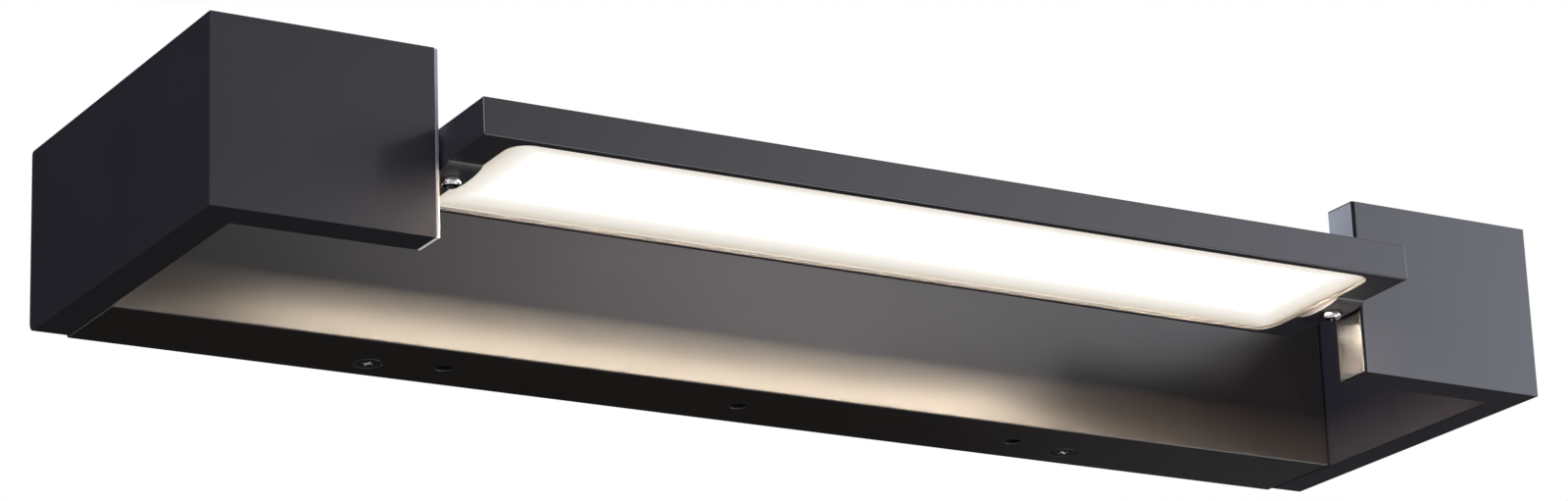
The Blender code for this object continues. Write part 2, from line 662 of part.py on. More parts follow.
def terminal_block(look):
    """A block with a wire way and a clamp hole for each pole, and a peg into the bracket."""
    half = TERMINAL_WIDTH / 2
    low = (-half, BOARD_FRONT - TERMINAL_DEPTH, -TERMINAL_HEIGHT / 2)
    high = (half, BOARD_FRONT, TERMINAL_HEIGHT / 2)
    block = part("terminal_block", box_mesh("terminal_block", low, high), (TERMINAL_X, 0, 0))
    bevelled(block, TERMINAL_EDGE)
    peg = rod_mesh("peg", PEG_RADIUS, FIT, BRACKET_SHEET + FIT + TERMINAL_EDGE)
    combined(block, tool_piece("peg", peg, (TERMINAL_X, 0, 0), TO_FRONT), "UNION")
    pitch = TERMINAL_HEIGHT / TERMINAL_POLES
    wire_level = BOARD_FRONT - TERMINAL_DEPTH / 2
    for pole in range(TERMINAL_POLES):
        level = (pole - (TERMINAL_POLES - 1) / 2) * pitch
        way = rod_mesh("wire_way", WIRE_HOLE_RADIUS, -half - OVERRUN, half + OVERRUN)
        combined(block, tool_piece(f"wire_way_{pole + 1}", way, (TERMINAL_X, wire_level, level), TO_RIGHT))
        clamp = rod_mesh("clamp_hole", CLAMP_HOLE_RADIUS, -CLAMP_HOLE_DEPTH, OVERRUN)
        spot = (TERMINAL_X, BOARD_FRONT - TERMINAL_DEPTH, level)
        combined(block, tool_piece(f"clamp_hole_{pole + 1}", clamp, spot, TO_FRONT))
    return painted(block, look)


def earth_screw(look):
    """The earthing screw in the bracket."""
    mesh = pan_screw_mesh("earth_screw", EARTH_SCREW_RADIUS, EARTH_HEAD_RADIUS, EARTH_HEAD_HEIGHT,
                          BRACKET_SHEET)
    spot = (EARTH_SCREW_X, BOARD_FRONT - EARTH_HEAD_HEIGHT, 0)
    return soften(painted(part("earth_screw", mesh, spot, TO_WALL), look))


def led_driver(case_look, screw_look):
    """The driver's case with a screw ear at each end, and its two screws."""
    low = (-DRIVER_LENGTH / 2, BOARD_FRONT - DRIVER_DEPTH, -DRIVER_HEIGHT / 2)
    high = (DRIVER_LENGTH / 2, BOARD_FRONT, DRIVER_HEIGHT / 2)
    case = part("led_driver", box_mesh("led_driver", low, high), (DRIVER_X, 0, 0))
    bevelled(case, DRIVER_EDGE)
    reach = DRIVER_LENGTH / 2 + EAR_LENGTH
    overlap = DRIVER_LENGTH / 2 - 2 * DRIVER_EDGE
    screw_shape = pan_screw_mesh("driver_screw", DRIVER_SCREW_RADIUS, DRIVER_SCREW_HEAD_RADIUS,
                                 DRIVER_SCREW_HEAD_HEIGHT, EAR_THICKNESS + FIT + BRACKET_SHEET)
    for side, word in ((-1, "left"), (1, "right")):
        ends = sorted((side * overlap, side * reach))
        ear = box_mesh("ear", (ends[0], BOARD_FRONT - EAR_THICKNESS, -EAR_HEIGHT / 2),
                       (ends[1], BOARD_FRONT, EAR_HEIGHT / 2))
        combined(case, tool_piece("ear_" + word, ear, (DRIVER_X, 0, 0)), "UNION")
        centre = DRIVER_X + side * (DRIVER_LENGTH + EAR_LENGTH) / 2
        hole = rod_mesh("ear_hole", DRIVER_SCREW_RADIUS + FIT, -OVERRUN, EAR_THICKNESS + OVERRUN)
        combined(case, tool_piece("ear_hole_" + word, hole, (centre, BOARD_FRONT, 0), TO_FRONT))
        head_face = BOARD_FRONT - EAR_THICKNESS - FIT - DRIVER_SCREW_HEAD_HEIGHT
        screw = part("driver_screw_" + word, screw_shape, (centre, head_face, 0), TO_WALL)
        soften(painted(screw, screw_look))
    return painted(case, case_look)


def mains_lead(look):
    """The lead from the terminal block to the driver, with a little slack."""
    start = TERMINAL_X + TERMINAL_WIDTH / 2 + FIT
    end = DRIVER_X - DRIVER_LENGTH / 2 - FIT
    level = BOARD_FRONT - TERMINAL_DEPTH / 2
    route = []
    for i in range(SAG_STEPS + 1):
        share = i / SAG_STEPS
        route.append((start + (end - start) * share, level, -MAINS_LEAD_SAG * math.sin(math.pi * share) ** 2))
    return soften(painted(part("mains_lead", lead_mesh("mains_lead", route, MAINS_LEAD_RADIUS)), look), 60)


def supply_lead(look, connector_face):
    """The lead from the driver through side wall, flange and hollow pivot to the LED board."""
    side_line = SIDE_INNER + FRAME_SHEET + FIT + GROMMET_FLANGE_THICKNESS + SUPPLY_ENTRY_RADIUS
    start = (DRIVER_X + DRIVER_LENGTH / 2 + FIT, DRIVER_MID_Y, PIVOT_Z)
    entry = (side_line, DRIVER_MID_Y, PIVOT_Z)
    corner = (side_line, PIVOT_Y, PIVOT_Z)
    end = (connector_face + FIT, PIVOT_Y, PIVOT_Z)
    route = [start]
    route += corner_arc(entry, start, corner, SUPPLY_ENTRY_RADIUS)
    route += corner_arc(corner, entry, end, SUPPLY_CORNER_RADIUS)
    route.append(end)
    return soften(painted(part("supply_lead", lead_mesh("supply_lead", route, SUPPLY_LEAD_RADIUS)), look), 60)


def frame_grommet(look):
    """The grommet that lines the lead's way out of the housing into the side wall."""
    inner_face = -SEAM - HOUSING_SHEET - FIT
    outer_face = FRAME_SHEET + FIT
    bore = SUPPLY_LEAD_RADIUS + FIT
    flange = GROMMET_NECK_RADIUS + FIT + GROMMET_FLANGE
    profile = [(flange, outer_face + GROMMET_FLANGE_THICKNESS), (flange, outer_face),
               (GROMMET_NECK_RADIUS, outer_face), (GROMMET_NECK_RADIUS, inner_face), (flange, inner_face),
               (flange, inner_face - GROMMET_FLANGE_THICKNESS), (bore, inner_face - GROMMET_FLANGE_THICKNESS),
               (bore, outer_face + GROMMET_FLANGE_THICKNESS)]
    mesh = turned_mesh("frame_grommet", profile, True)
    return soften(painted(part("frame_grommet", mesh, (SIDE_INNER, DRIVER_MID_Y, PIVOT_Z), TO_RIGHT), look))


# Pivots

def pivot_parts(shaft_look, washer_look, nut_look):
    """Hollow shafts in the flange caps, with washers and nuts. Heights run outwards from the cap's face."""
    groove = -HEAD_SIDE_GAP - PIVOT_SCREW_INSET
    inner_end = -HEAD_SIDE_GAP - SHAFT_GRIP
    collar_top = -FIT
    collar_low = collar_top - SHAFT_COLLAR_THICKNESS
    spring_low = CAP_PLATE + FIT
    nut_low = spring_low + SPRING_WASHER + FIT
    nut_top = nut_low + PIVOT_NUT_HEIGHT
    waist = SHAFT_RADIUS - BRAKE_GROOVE_DEPTH
    profile = [(SHAFT_RADIUS, nut_top + SHAFT_TAIL), (SHAFT_RADIUS, collar_top),
               (SHAFT_COLLAR_RADIUS, collar_top), (SHAFT_COLLAR_RADIUS, collar_low), (SHAFT_RADIUS, collar_low),
               (SHAFT_RADIUS, groove + BRAKE_GROOVE_WIDTH / 2), (waist, groove + BRAKE_GROOVE_WIDTH / 2),
               (waist, groove - BRAKE_GROOVE_WIDTH / 2), (SHAFT_RADIUS, groove - BRAKE_GROOVE_WIDTH / 2),
               (SHAFT_RADIUS, inner_end), (SHAFT_BORE, inner_end), (SHAFT_BORE, nut_top + SHAFT_TAIL)]
    shaft_shape = turned_mesh("pivot_shaft", profile, True)
    friction_top = collar_low - FIT
    friction_shape = ring_mesh("friction_washer", SHAFT_RADIUS + FIT, SHAFT_COLLAR_RADIUS,
                               friction_top - FRICTION_WASHER, friction_top)
    spring_shape = ring_mesh("spring_washer", SHAFT_RADIUS + FIT, SPRING_WASHER_RADIUS, spring_low,
                             spring_low + SPRING_WASHER)
    corner = (FLANGE_CAVITY / 2 - FIT) / math.cos(math.pi / 6)
    nut_shape = rod_mesh("pivot_nut", corner, nut_low, nut_top, sides=6)
    nut_shape.transform(Matrix.Rotation(math.pi / 6, 4, "Z"))
    for side, word in ((-1, "left"), (1, "right")):
        spot = (side * CAP_FACE, PIVOT_Y, PIVOT_Z)
        turn = outwards(side)
        soften(painted(part("pivot_shaft_" + word, shaft_shape, spot, turn), shaft_look))
        soften(painted(part("friction_washer_" + word, friction_shape, spot, turn), washer_look))
        soften(painted(part("spring_washer_" + word, spring_shape, spot, turn), nut_look))
        nut = part("pivot_nut_" + word, nut_shape.copy(), spot, turn)
        hole = rod_mesh("nut_hole", SHAFT_RADIUS + FIT, nut_low - OVERRUN, nut_top + OVERRUN)
        combined(nut, tool_piece("nut_hole_" + word, hole, spot, turn))
        painted(nut, nut_look)


# Lamp head, built about its pivot axis

def rounded_slab(name, end, front, rear, low, high, corner):
    """A flat rectangular block with rounded corners."""
    return box_mesh(name, (-end, front, low), (end, rear, high), corner)


def head_body(pivot, look):
    """The slab with its stepped recess, its two lobes and the bores for the pivots."""
    low = (-HEAD_END, -HEAD_FRONT, UNDERSIDE)
    body = part("head_body", box_mesh("head_body", low, (HEAD_END, HEAD_REAR, -UNDERSIDE)), parent=pivot)
    bevelled(body, HEAD_EDGE)
    opening = rounded_slab("opening", OPENING_END, OPENING_FRONT, OPENING_REAR, UNDERSIDE - OVERRUN,
                           UNDERSIDE + OPENING_DEPTH, OPENING_CORNER)
    combined(body, tool_piece("opening", opening, parent=pivot))
    cavity = rounded_slab("cavity", OPENING_END - HEAD_LEDGE, OPENING_FRONT + HEAD_LEDGE,
                          OPENING_REAR - HEAD_LEDGE, UNDERSIDE - OVERRUN, CEILING,
                          OPENING_CORNER - HEAD_LEDGE)
    combined(body, tool_piece("cavity", cavity, parent=pivot))
    lobe_length = HEAD_BLOCK - LOBE_INSET
    seat = UNDERSIDE - LOBE_DEPTH + SPOT_FACE_DEPTH
    for side, word in ((-1, "left"), (1, "right")):
        lobe = rod_mesh("lobe", LOBE_HALF_WIDTH, -lobe_length, 0, sides=FINE_STEPS)
        for vert in lobe.vertices:
            vert.co.x *= LOBE_DEPTH / LOBE_HALF_WIDTH
        end = (side * HEAD_END, 0, UNDERSIDE)
        combined(body, tool_piece("lobe_" + word, lobe, end, outwards(side), pivot), "UNION")
        axis = (side * HEAD_END, 0, 0)
        bore = rod_mesh("bore", SHAFT_RADIUS + FIT, -HEAD_BLOCK - HEAD_LEDGE - OVERRUN, OVERRUN)
        combined(body, tool_piece("bore_" + word, bore, axis, outwards(side), pivot))
        sink = rod_mesh("counterbore", COUNTERBORE_RADIUS, -COUNTERBORE_DEPTH, OVERRUN)
        combined(body, tool_piece("counterbore_" + word, sink, axis, outwards(side), pivot))
        place = side * PIVOT_SCREW_X
        face = rod_mesh("spot_face", PIVOT_SCREW_HEAD_RADIUS + FIT, seat - OVERRUN, seat)
        combined(body, tool_piece("spot_face_" + word, face, (place, 0, 0), parent=pivot))
        hole = rod_mesh("screw_hole", PIVOT_SCREW_RADIUS + FIT, seat - OVERRUN, 0)
        combined(body, tool_piece("screw_hole_" + word, hole, (place, 0, 0), parent=pivot))
        place = side * BOARD_SCREW_SPACING / 2
        hole = rod_mesh("board_thread", BOARD_SCREW_RADIUS + FIT, 0, CEILING + BOARD_SCREW_BITE + FIT)
        combined(body, tool_piece("board_thread_" + word, hole, (place, HEAD_MIDDLE, 0), parent=pivot))
    return painted(body, look)


def diffuser(pivot, look):
    """The opal cover, seated on the recess's ledge."""
    front = OPENING_FRONT + FIT
    rear = OPENING_REAR - FIT
    low = UNDERSIDE + DIFFUSER_RECESS
    mesh = rounded_slab("diffuser", OPENING_END - FIT, front, rear, low, low + DIFFUSER_THICKNESS,
                        OPENING_CORNER - FIT)
    cover = part("diffuser", mesh, parent=pivot)
    bevelled(cover, DIFFUSER_EDGE)
    return painted(cover, look)


def led_board(pivot, board_look, screw_look):
    """The board with two rows of LEDs and the lead's connector, and its two screws."""
    end = OPENING_END - HEAD_LEDGE - BOARD_MARGIN
    front = OPENING_FRONT + HEAD_LEDGE + BOARD_MARGIN
    rear = OPENING_REAR - HEAD_LEDGE - BOARD_MARGIN
    top = CEILING - FIT
    under = top - BOARD_THICKNESS
    corner = OPENING_CORNER - HEAD_LEDGE
    board = part("led_board", rounded_slab("led_board", end, front, rear, under, top, corner), parent=pivot)
    pitch = 2 * (end - LED_END_ROOM) / (LED_COUNT - 1)
    form = bmesh.new()
    for row in (front + LED_SIDE_ROOM, rear - LED_SIDE_ROOM):
        for i in range(LED_COUNT):
            place = (i - (LED_COUNT - 1) / 2) * pitch
            size = Matrix.Diagonal((LED_LENGTH, LED_WIDTH, LED_HEIGHT + LED_ROOT, 1.0))
            centre = (place, row, under - (LED_HEIGHT - LED_ROOT) / 2)
            bmesh.ops.create_cube(form, size=1.0, matrix=Matrix.Translation(centre) @ size)
    leds = bpy.data.meshes.new("leds")
    form.to_mesh(leds)
    form.free()
    combined(board, tool_piece("leds", leds, parent=pivot), "UNION")
    drop = SUPPLY_LEAD_RADIUS + CONNECTOR_DROP
    block = box_mesh("connector", (end - BOARD_MARGIN - CONNECTOR_LENGTH, -CONNECTOR_WIDTH / 2, -drop),
                     (end - BOARD_MARGIN, CONNECTOR_WIDTH / 2, under + LED_ROOT))
    combined(board, tool_piece("connector", block, parent=pivot), "UNION")
    mesh = pan_screw_mesh("board_screw", BOARD_SCREW_RADIUS, BOARD_SCREW_HEAD_RADIUS, BOARD_SCREW_HEAD_HEIGHT,
                          BOARD_THICKNESS + 2 * FIT + BOARD_SCREW_BITE)
    for side, word in ((-1, "left"), (1, "right")):
        place = side * BOARD_SCREW_SPACING / 2
        hole = rod_mesh("board_hole", BOARD_SCREW_RADIUS + FIT, under - OVERRUN, top + OVERRUN)
        combined(board, tool_piece("board_hole_" + word, hole, (place, HEAD_MIDDLE, 0), parent=pivot))
        spot = (place, HEAD_MIDDLE, under - FIT - BOARD_SCREW_HEAD_HEIGHT)
        soften(painted(part("board_screw_" + word, mesh, spot, parent=pivot), screw_look))
    painted(board, board_look)
    return end - BOARD_MARGIN


def pivot_screws(pivot, look):
    """Silver pan-head screws that run up into the lobes and brake the head on its shafts."""
    seat = UNDERSIDE - LOBE_DEPTH + SPOT_FACE_DEPTH
    head_face = seat - FIT - PIVOT_SCREW_HEAD_HEIGHT
    tip = -(SHAFT_RADIUS - BRAKE_GROOVE_DEPTH + FIT)
    mesh = pan_screw_mesh("pivot_screw", PIVOT_SCREW_RADIUS, PIVOT_SCREW_HEAD_RADIUS, PIVOT_SCREW_HEAD_HEIGHT,
                          tip - head_face - PIVOT_SCREW_HEAD_HEIGHT)
    for side, word in ((-1, "left"), (1, "right")):
        screw = part("pivot_screw_" + word, mesh, (side * PIVOT_SCREW_X, 0, head_face), parent=pivot)
        soften(painted(screw, look))


def build():
    """Models the whole light."""
    start_scene()
    black = material("black_paint", (0.035, 0.035, 0.038), 0.45)
    aluminium = material("cap_aluminium", (0.72, 0.72, 0.74), 0.4, 1.0)
    zinc = material("zinc_plated_steel", (0.6, 0.61, 0.62), 0.35, 1.0)
    black_screw = material("black_screw", (0.05, 0.05, 0.055), 0.35, 1.0)
    bright_screw = material("bright_screw", (0.75, 0.75, 0.76), 0.25, 1.0)
    rubber = material("rubber", (0.04, 0.04, 0.04), 0.8)
    terminal = material("terminal_plastic", (0.85, 0.85, 0.82), 0.5)
    case = material("driver_case", (0.9, 0.9, 0.9), 0.5)
    sheath = material("white_sheath", (0.82, 0.82, 0.8), 0.6)
    nylon = material("nylon", (0.8, 0.8, 0.76), 0.5)
    brass = material("brass", (0.75, 0.58, 0.3), 0.35, 1.0)
    opal = material("opal", (0.95, 0.94, 0.9), 0.35)
    board = material("white_board", (0.88, 0.88, 0.86), 0.4)

    for side, word in ((-1, "left"), (1, "right")):
        end_frame(side, word, black)
        flange_cap(side, word, aluminium)
    back_housing(black)
    frame_screws(zinc)
    wall_bracket(zinc)
    lock_screws(black_screw, zinc)
    cable_grommet(rubber)
    terminal_block(terminal)
    earth_screw(brass)
    led_driver(case, zinc)
    mains_lead(sheath)
    frame_grommet(rubber)
    pivot_parts(brass, nylon, zinc)

    pivot = bpy.data.objects.new("head_pivot", None)
    bpy.data.collections[PARTS].objects.link(pivot)
    pivot.location = (0, PIVOT_Y, PIVOT_Z)
    pivot.rotation_euler = (-math.radians(HEAD_TILT_DEG), 0, 0)
    head_body(pivot, black)
    diffuser(pivot, opal)
    connector_face = led_board(pivot, board, zinc)
    pivot_screws(pivot, bright_screw)
    supply_lead(sheath, connector_face)


build()
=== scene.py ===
"""Looks of the LED wall light: a black frame on a wall bracket, and a slim lamp head that tilts
between its two flanges. Lengths are metres; +X runs to the right along the light, -Y points
away from the wall and +Z is up.
"""
import json
import math

import bmesh
import bpy
from mathutils import Matrix, Vector


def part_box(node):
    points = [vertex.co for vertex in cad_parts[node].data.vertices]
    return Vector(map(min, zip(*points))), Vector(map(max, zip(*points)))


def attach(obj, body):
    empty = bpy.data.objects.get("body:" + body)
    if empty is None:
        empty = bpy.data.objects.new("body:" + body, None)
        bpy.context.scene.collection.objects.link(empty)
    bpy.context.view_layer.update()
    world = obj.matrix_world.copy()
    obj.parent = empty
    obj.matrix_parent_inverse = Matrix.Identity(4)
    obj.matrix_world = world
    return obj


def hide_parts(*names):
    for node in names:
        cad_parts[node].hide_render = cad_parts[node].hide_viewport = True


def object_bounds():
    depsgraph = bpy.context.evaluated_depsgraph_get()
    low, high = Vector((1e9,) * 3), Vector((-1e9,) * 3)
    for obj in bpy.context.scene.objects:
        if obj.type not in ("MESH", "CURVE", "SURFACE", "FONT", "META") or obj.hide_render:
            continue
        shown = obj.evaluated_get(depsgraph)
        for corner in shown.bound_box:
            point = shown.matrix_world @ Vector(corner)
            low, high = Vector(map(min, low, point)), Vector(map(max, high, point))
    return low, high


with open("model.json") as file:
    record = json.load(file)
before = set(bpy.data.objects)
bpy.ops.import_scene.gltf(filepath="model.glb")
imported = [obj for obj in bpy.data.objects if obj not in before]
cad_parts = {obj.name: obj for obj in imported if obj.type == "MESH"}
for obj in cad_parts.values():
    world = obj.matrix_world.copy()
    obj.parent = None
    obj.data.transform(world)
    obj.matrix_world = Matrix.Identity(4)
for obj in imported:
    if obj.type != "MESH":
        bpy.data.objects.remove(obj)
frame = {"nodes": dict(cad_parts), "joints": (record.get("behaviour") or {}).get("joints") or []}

cad_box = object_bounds()
MM = 0.001


# Camera
# It stands low in front of the light and to its left, and looks up at the lit underside through
# a long lens. Its place and lens were worked out from the light's own edges.
VIEW_TURN = math.radians(-31.333)
VIEW_RISE = math.radians(-17.995)
VIEW_ROLL = math.radians(-2.178)
VIEW_DISTANCE = 1263.1 * MM
VIEW_CENTRE = Vector((-4.47, -50.0, 9.81)) * MM
LENS = 105.19

behind = Vector((math.sin(VIEW_TURN) * math.cos(VIEW_RISE), -math.cos(VIEW_TURN) * math.cos(VIEW_RISE),
                 math.sin(VIEW_RISE)))
turn = behind.to_track_quat("Z", "Y").to_matrix() @ Matrix.Rotation(VIEW_ROLL, 3, "Z")
bpy.ops.object.camera_add(location=VIEW_CENTRE + behind * VIEW_DISTANCE, rotation=turn.to_euler())
camera = bpy.context.object
camera.data.lens = LENS
bpy.context.scene.camera = camera


# Wall bracket
# A zinc-plated steel plate that is screwed to the wall. Two lugs above and two below are bent
# forwards, and the tray hangs over them. Slots, cable entry and screw holes are punched.
BRACKET_SHEET = 1.5 * MM
LUG_WIDTH = 22.0 * MM
LUG_BEND = 1.2 * MM
LUG_CORNER = 3 * LUG_BEND
SLOT_LENGTH = 12.0 * MM
SLOT_WIDTH = 5.0 * MM
SLOT_INSET = 10.0 * MM
CABLE_HOLE = (-25.0 * MM, 10.0 * MM)
PEG_HOLE = (-52.0 * MM, 2.3 * MM)
EARTH_HOLE = (-80.0 * MM, 2.3 * MM)
DRIVER_HOLES = ((26.0 * MM, 1.8 * MM), (134.0 * MM, 1.8 * MM))
LOCK_X = 112.6 * MM
LOCK_Y = -10.5 * MM
LOCK_HOLE = 2.3 * MM
PUNCHED_EDGE = 0.2 * MM
OVERRUN = 2.0 * MM
TOUCH = 0.01 * MM
ZINC_PALE = (0.60, 0.61, 0.63)
ZINC_DULL = (0.47, 0.48, 0.50)
ZINC_SPANGLE = 9.0 * MM
ZINC_ROLLING = 0.25 * MM
ROLLING_STRETCH = (60, 1, 1)
ROLLING_RELIEF = 0.004 * MM
ZINC_ROUGH = 0.30
SPANGLE_ROUGH = 0.16
ROLLING_ROUGH = 0.08
BEVEL_FROM = math.radians(40)
X_AXIS, Y_AXIS, Z_AXIS = 0, 1, 2


class Wire:
    """An output in a finish's nodes. Arithmetic on it adds Math nodes."""

    def __init__(self, finish, socket):
        self.finish = finish
        self.socket = socket

    def worked(self, operation, *values):
        """A Math node on this wire's values."""
        return self.finish.node("Math", {"operation": operation}, dict(enumerate(values)))

    def __add__(self, other):
        return self.worked("ADD", self, other)

    def __sub__(self, other):
        return self.worked("SUBTRACT", self, other)

    def __rsub__(self, other):
        return self.worked("SUBTRACT", other, self)

    def __mul__(self, other):
        return self.worked("MULTIPLY", self, other)

    def __truediv__(self, other):
        return self.worked("DIVIDE", self, other)

    def __pow__(self, other):
        return self.worked("POWER", self, other)

    def __gt__(self, other):
        return self.worked("GREATER_THAN", self, other)

    def __lt__(self, other):
        return self.worked("LESS_THAN", self, other)

    __radd__ = __add__
    __rmul__ = __mul__

    def size(self):
        """The value without its sign."""
        return self.worked("ABSOLUTE", self)

    def below(self, other):
        """The lower of two values."""
        return self.worked("MINIMUM", self, other)

    def held(self):
        """The value kept from 0 to 1."""
        return self.finish.node("Clamp", None, {0: self})


class Finish:
    """The nodes of a material, or of the world. The steady values go on the shader's own sockets."""

    def __init__(self, owner, shader, **steady):
        self.owner = owner
        owner.use_nodes = True
        self.tree = owner.node_tree
        self.shader = self.tree.nodes[shader]
        for name, value in steady.items():
            self.shader.inputs[name.replace("_", " ")].default_value = value

    def node(self, kind, settings=None, sockets=None, out=0):
        """Makes one node: first its settings, then the values or links of its sockets."""
        made = self.tree.nodes.new("ShaderNode" + kind)
        for name, value in (settings or {}).items():
            setattr(made, name, value)
        for name, value in (sockets or {}).items():
            if isinstance(value, Wire):
                self.tree.links.new(value.socket, made.inputs[name])
            else:
                made.inputs[name].default_value = value
        return Wire(self, made.outputs[out])

    def shows(self, name, wire):
        """Feeds one of the shader's sockets."""
        self.tree.links.new(wire.socket, self.shader.inputs[name])

    def place(self):
        """Where a point is on the light."""
        return self.node("TexCoord", None, None, "Object")

    def axes(self, place=None):
        """A point's three measures, on the light or from the place that is given."""
        parts = self.node("SeparateXYZ", None, {0: self.place() if place is None else place}).socket.node
        return [Wire(self, parts.outputs[axis]) for axis in "XYZ"]

    def seated(self, centre, tilt=0.0):
        """Where a point is, measured from a centre and turned back by a tilt about X."""
        return self.node("Mapping", {"vector_type": "TEXTURE"},
                         {"Vector": self.place(), "Location": centre, "Rotation": (tilt, 0, 0)})

    def grain(self, size, detail=2.0, stretch=(1, 1, 1)):
        """Noise whose spots are about one size across, drawn out along an axis where it is stretched."""
        spread = [1 / (size * length) for length in stretch]
        place = self.node("VectorMath", {"operation": "MULTIPLY"}, {0: self.place(), 1: spread})
        return self.node("TexNoise", None, {"Vector": place, "Scale": 1.0, "Detail": detail})

    def blended(self, share, first, second):
        """A colour between two others. Of the Mix node's sockets, 6 and 7 take them and 2 gives it."""
        sockets = {0: share}
        for index, colour in ((6, first), (7, second)):
            sockets[index] = colour if isinstance(colour, Wire) else (*colour, 1.0)
        return self.node("Mix", {"data_type": "RGBA"}, sockets, 2)

    def raised(self, height, depth):
        """Lets a height show as a fine relief."""
        self.shows("Normal", self.node("Bump", None, {"Height": height, "Distance": depth}))


def coated(name, **steady):
    """A new material's finish."""
    return Finish(bpy.data.materials.new(name), "Principled BSDF", **steady)


def zinc_plated():
    """Bright zinc on steel: soft spangle, faint rolling lines and a dull bloom."""
    finish = coated("zinc_plated_steel", Metallic=1.0)
    bloom = finish.grain(ZINC_SPANGLE, 4.0)
    rolled = finish.grain(ZINC_ROLLING, 2.0, ROLLING_STRETCH)
    finish.shows("Base Color", finish.blended(bloom, ZINC_DULL, ZINC_PALE))
    finish.shows("Roughness", ZINC_ROUGH + SPANGLE_ROUGH * bloom + ROLLING_ROUGH * rolled)
    finish.raised(rolled, ROLLING_RELIEF)
    return finish.owner


def clear():
    """Leaves edit mode, with nothing selected."""
    if bpy.context.mode != "OBJECT":
        bpy.ops.object.mode_set(mode="OBJECT")
    bpy.ops.object.select_all(action="DESELECT")


def hold(piece):
    """Makes one piece the only one selected."""
    clear()
    piece.select_set(True)
    bpy.context.view_layer.objects.active = piece
    return piece


def seated(piece, place=(0, 0, 0), rotation=(0, 0, 0)):
    """Turns and moves a piece, and settles that in its mesh."""
    hold(piece)
    piece.rotation_euler = rotation
    piece.location = place
    bpy.ops.object.transform_apply()
    return piece


def named(name):
    """Names the new primitive and settles its place in its mesh."""
    bpy.ops.object.transform_apply()
    piece = bpy.context.object
    piece.name = name
    piece.data.name = name
    return piece


def block(name, low, high):
    """A block between two corners."""
    clear()
    low = Vector(low)
    high = Vector(high)
    bpy.ops.mesh.primitive_cube_add(size=1, location=(low + high) / 2, scale=high - low)
    return named(name)


def rod(name, radius, start, end, end_radius=None, sides=64):
    """A round bar or cone from one point to another."""
    clear()
    start = Vector(start)
    along = Vector(end) - start
    far = radius if end_radius is None else end_radius
    bpy.ops.mesh.primitive_cone_add(vertices=sides, radius1=radius, radius2=far, depth=along.length,
                                    location=start + along / 2,
                                    rotation=along.to_track_quat("Z", "Y").to_euler())
    return named(name)


def middle(item):
    """The middle of a face or an edge."""
    return sum((vert.co for vert in item.verts), Vector()) / len(item.verts)


def near(value, other):
    """Whether two places are the same."""
    return abs(value - other) < TOUCH


def pick(piece, test, kind="FACE"):
    """Opens a piece in edit mode with the faces or edges that pass a test selected."""
    hold(piece)
    bpy.ops.object.mode_set(mode="EDIT")
    bpy.ops.mesh.select_mode(type=kind)
    bpy.ops.mesh.select_all(action="DESELECT")
    form = bmesh.from_edit_mesh(piece.data)
    for item in (form.faces if kind == "FACE" else form.edges):
        if test(item):
            item.select_set(True)
    bmesh.update_edit_mesh(piece.data)


def along(edge, axis):
    """Whether an edge runs along an axis."""
    return abs((edge.verts[0].co - edge.verts[1].co).normalized()[axis]) > 0.99


def pulled(*step):
    """Extrudes what is selected."""
    bpy.ops.mesh.extrude_region_move(TRANSFORM_OT_translate={"value": step})


def eased(width, steps=4):
    """Rounds the selected edges."""
    bpy.ops.mesh.bevel(offset=width, segments=steps, affect="EDGES")


def shaped(piece, kind, **settings):
    """Adds one modifier to a piece and applies it."""
    hold(piece)
    step = piece.modifiers.new(kind.lower(), kind)
    for name, value in settings.items():
        setattr(step, name, value)
    bpy.ops.object.modifier_apply(modifier=step.name)
    return piece


def combined(piece, tool, operation="DIFFERENCE"):
    """Cuts a piece with a tool, or joins the tool to it, and clears the tool away."""
    shaped(piece, "BOOLEAN", object=tool, operation=operation, solver="EXACT")
    bpy.data.objects.remove(tool, do_unlink=True)
    return piece


def rounded(piece, width, steps=4):
    """Rounds every sharp edge of a piece."""
    return shaped(piece, "BEVEL", width=width, segments=steps, limit_method="ANGLE",
                  angle_limit=BEVEL_FROM)


def upright_slab(name, low, high, corner, axis, steps=12):
    """A block whose four edges along one axis are rounded."""
    slab = block(name, low, high)
    pick(slab, lambda edge: along(edge, axis), "EDGE")
    eased(corner, steps)
    return slab


def smoothed(piece, angle=35):
    """Shades round faces smooth, keeps flat ones flat and leaves sharp edges sharp."""
    hold(piece)
    bpy.ops.object.shade_smooth_by_angle(angle=math.radians(angle))
    return shaped(piece, "WEIGHTED_NORMAL", keep_sharp=True, mode="FACE_AREA_WITH_ANGLE")


def coat(piece, material):
    """Gives a piece, or a CAD node, its one material."""
    if not piece.material_slots:
        piece.data.materials.append(None)
    for holder in piece.material_slots:
        holder.material = material
    return piece


def coat_nodes(material, *names):
    """Gives a material to CAD nodes whose own shape is right."""
    for name in names:
        coat(frame["nodes"][name], material)


def stands_for(piece, node, body, material):
    """A finished piece takes a CAD node's place."""
    coat(smoothed(piece), material)
    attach(piece, body)
    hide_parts(node)


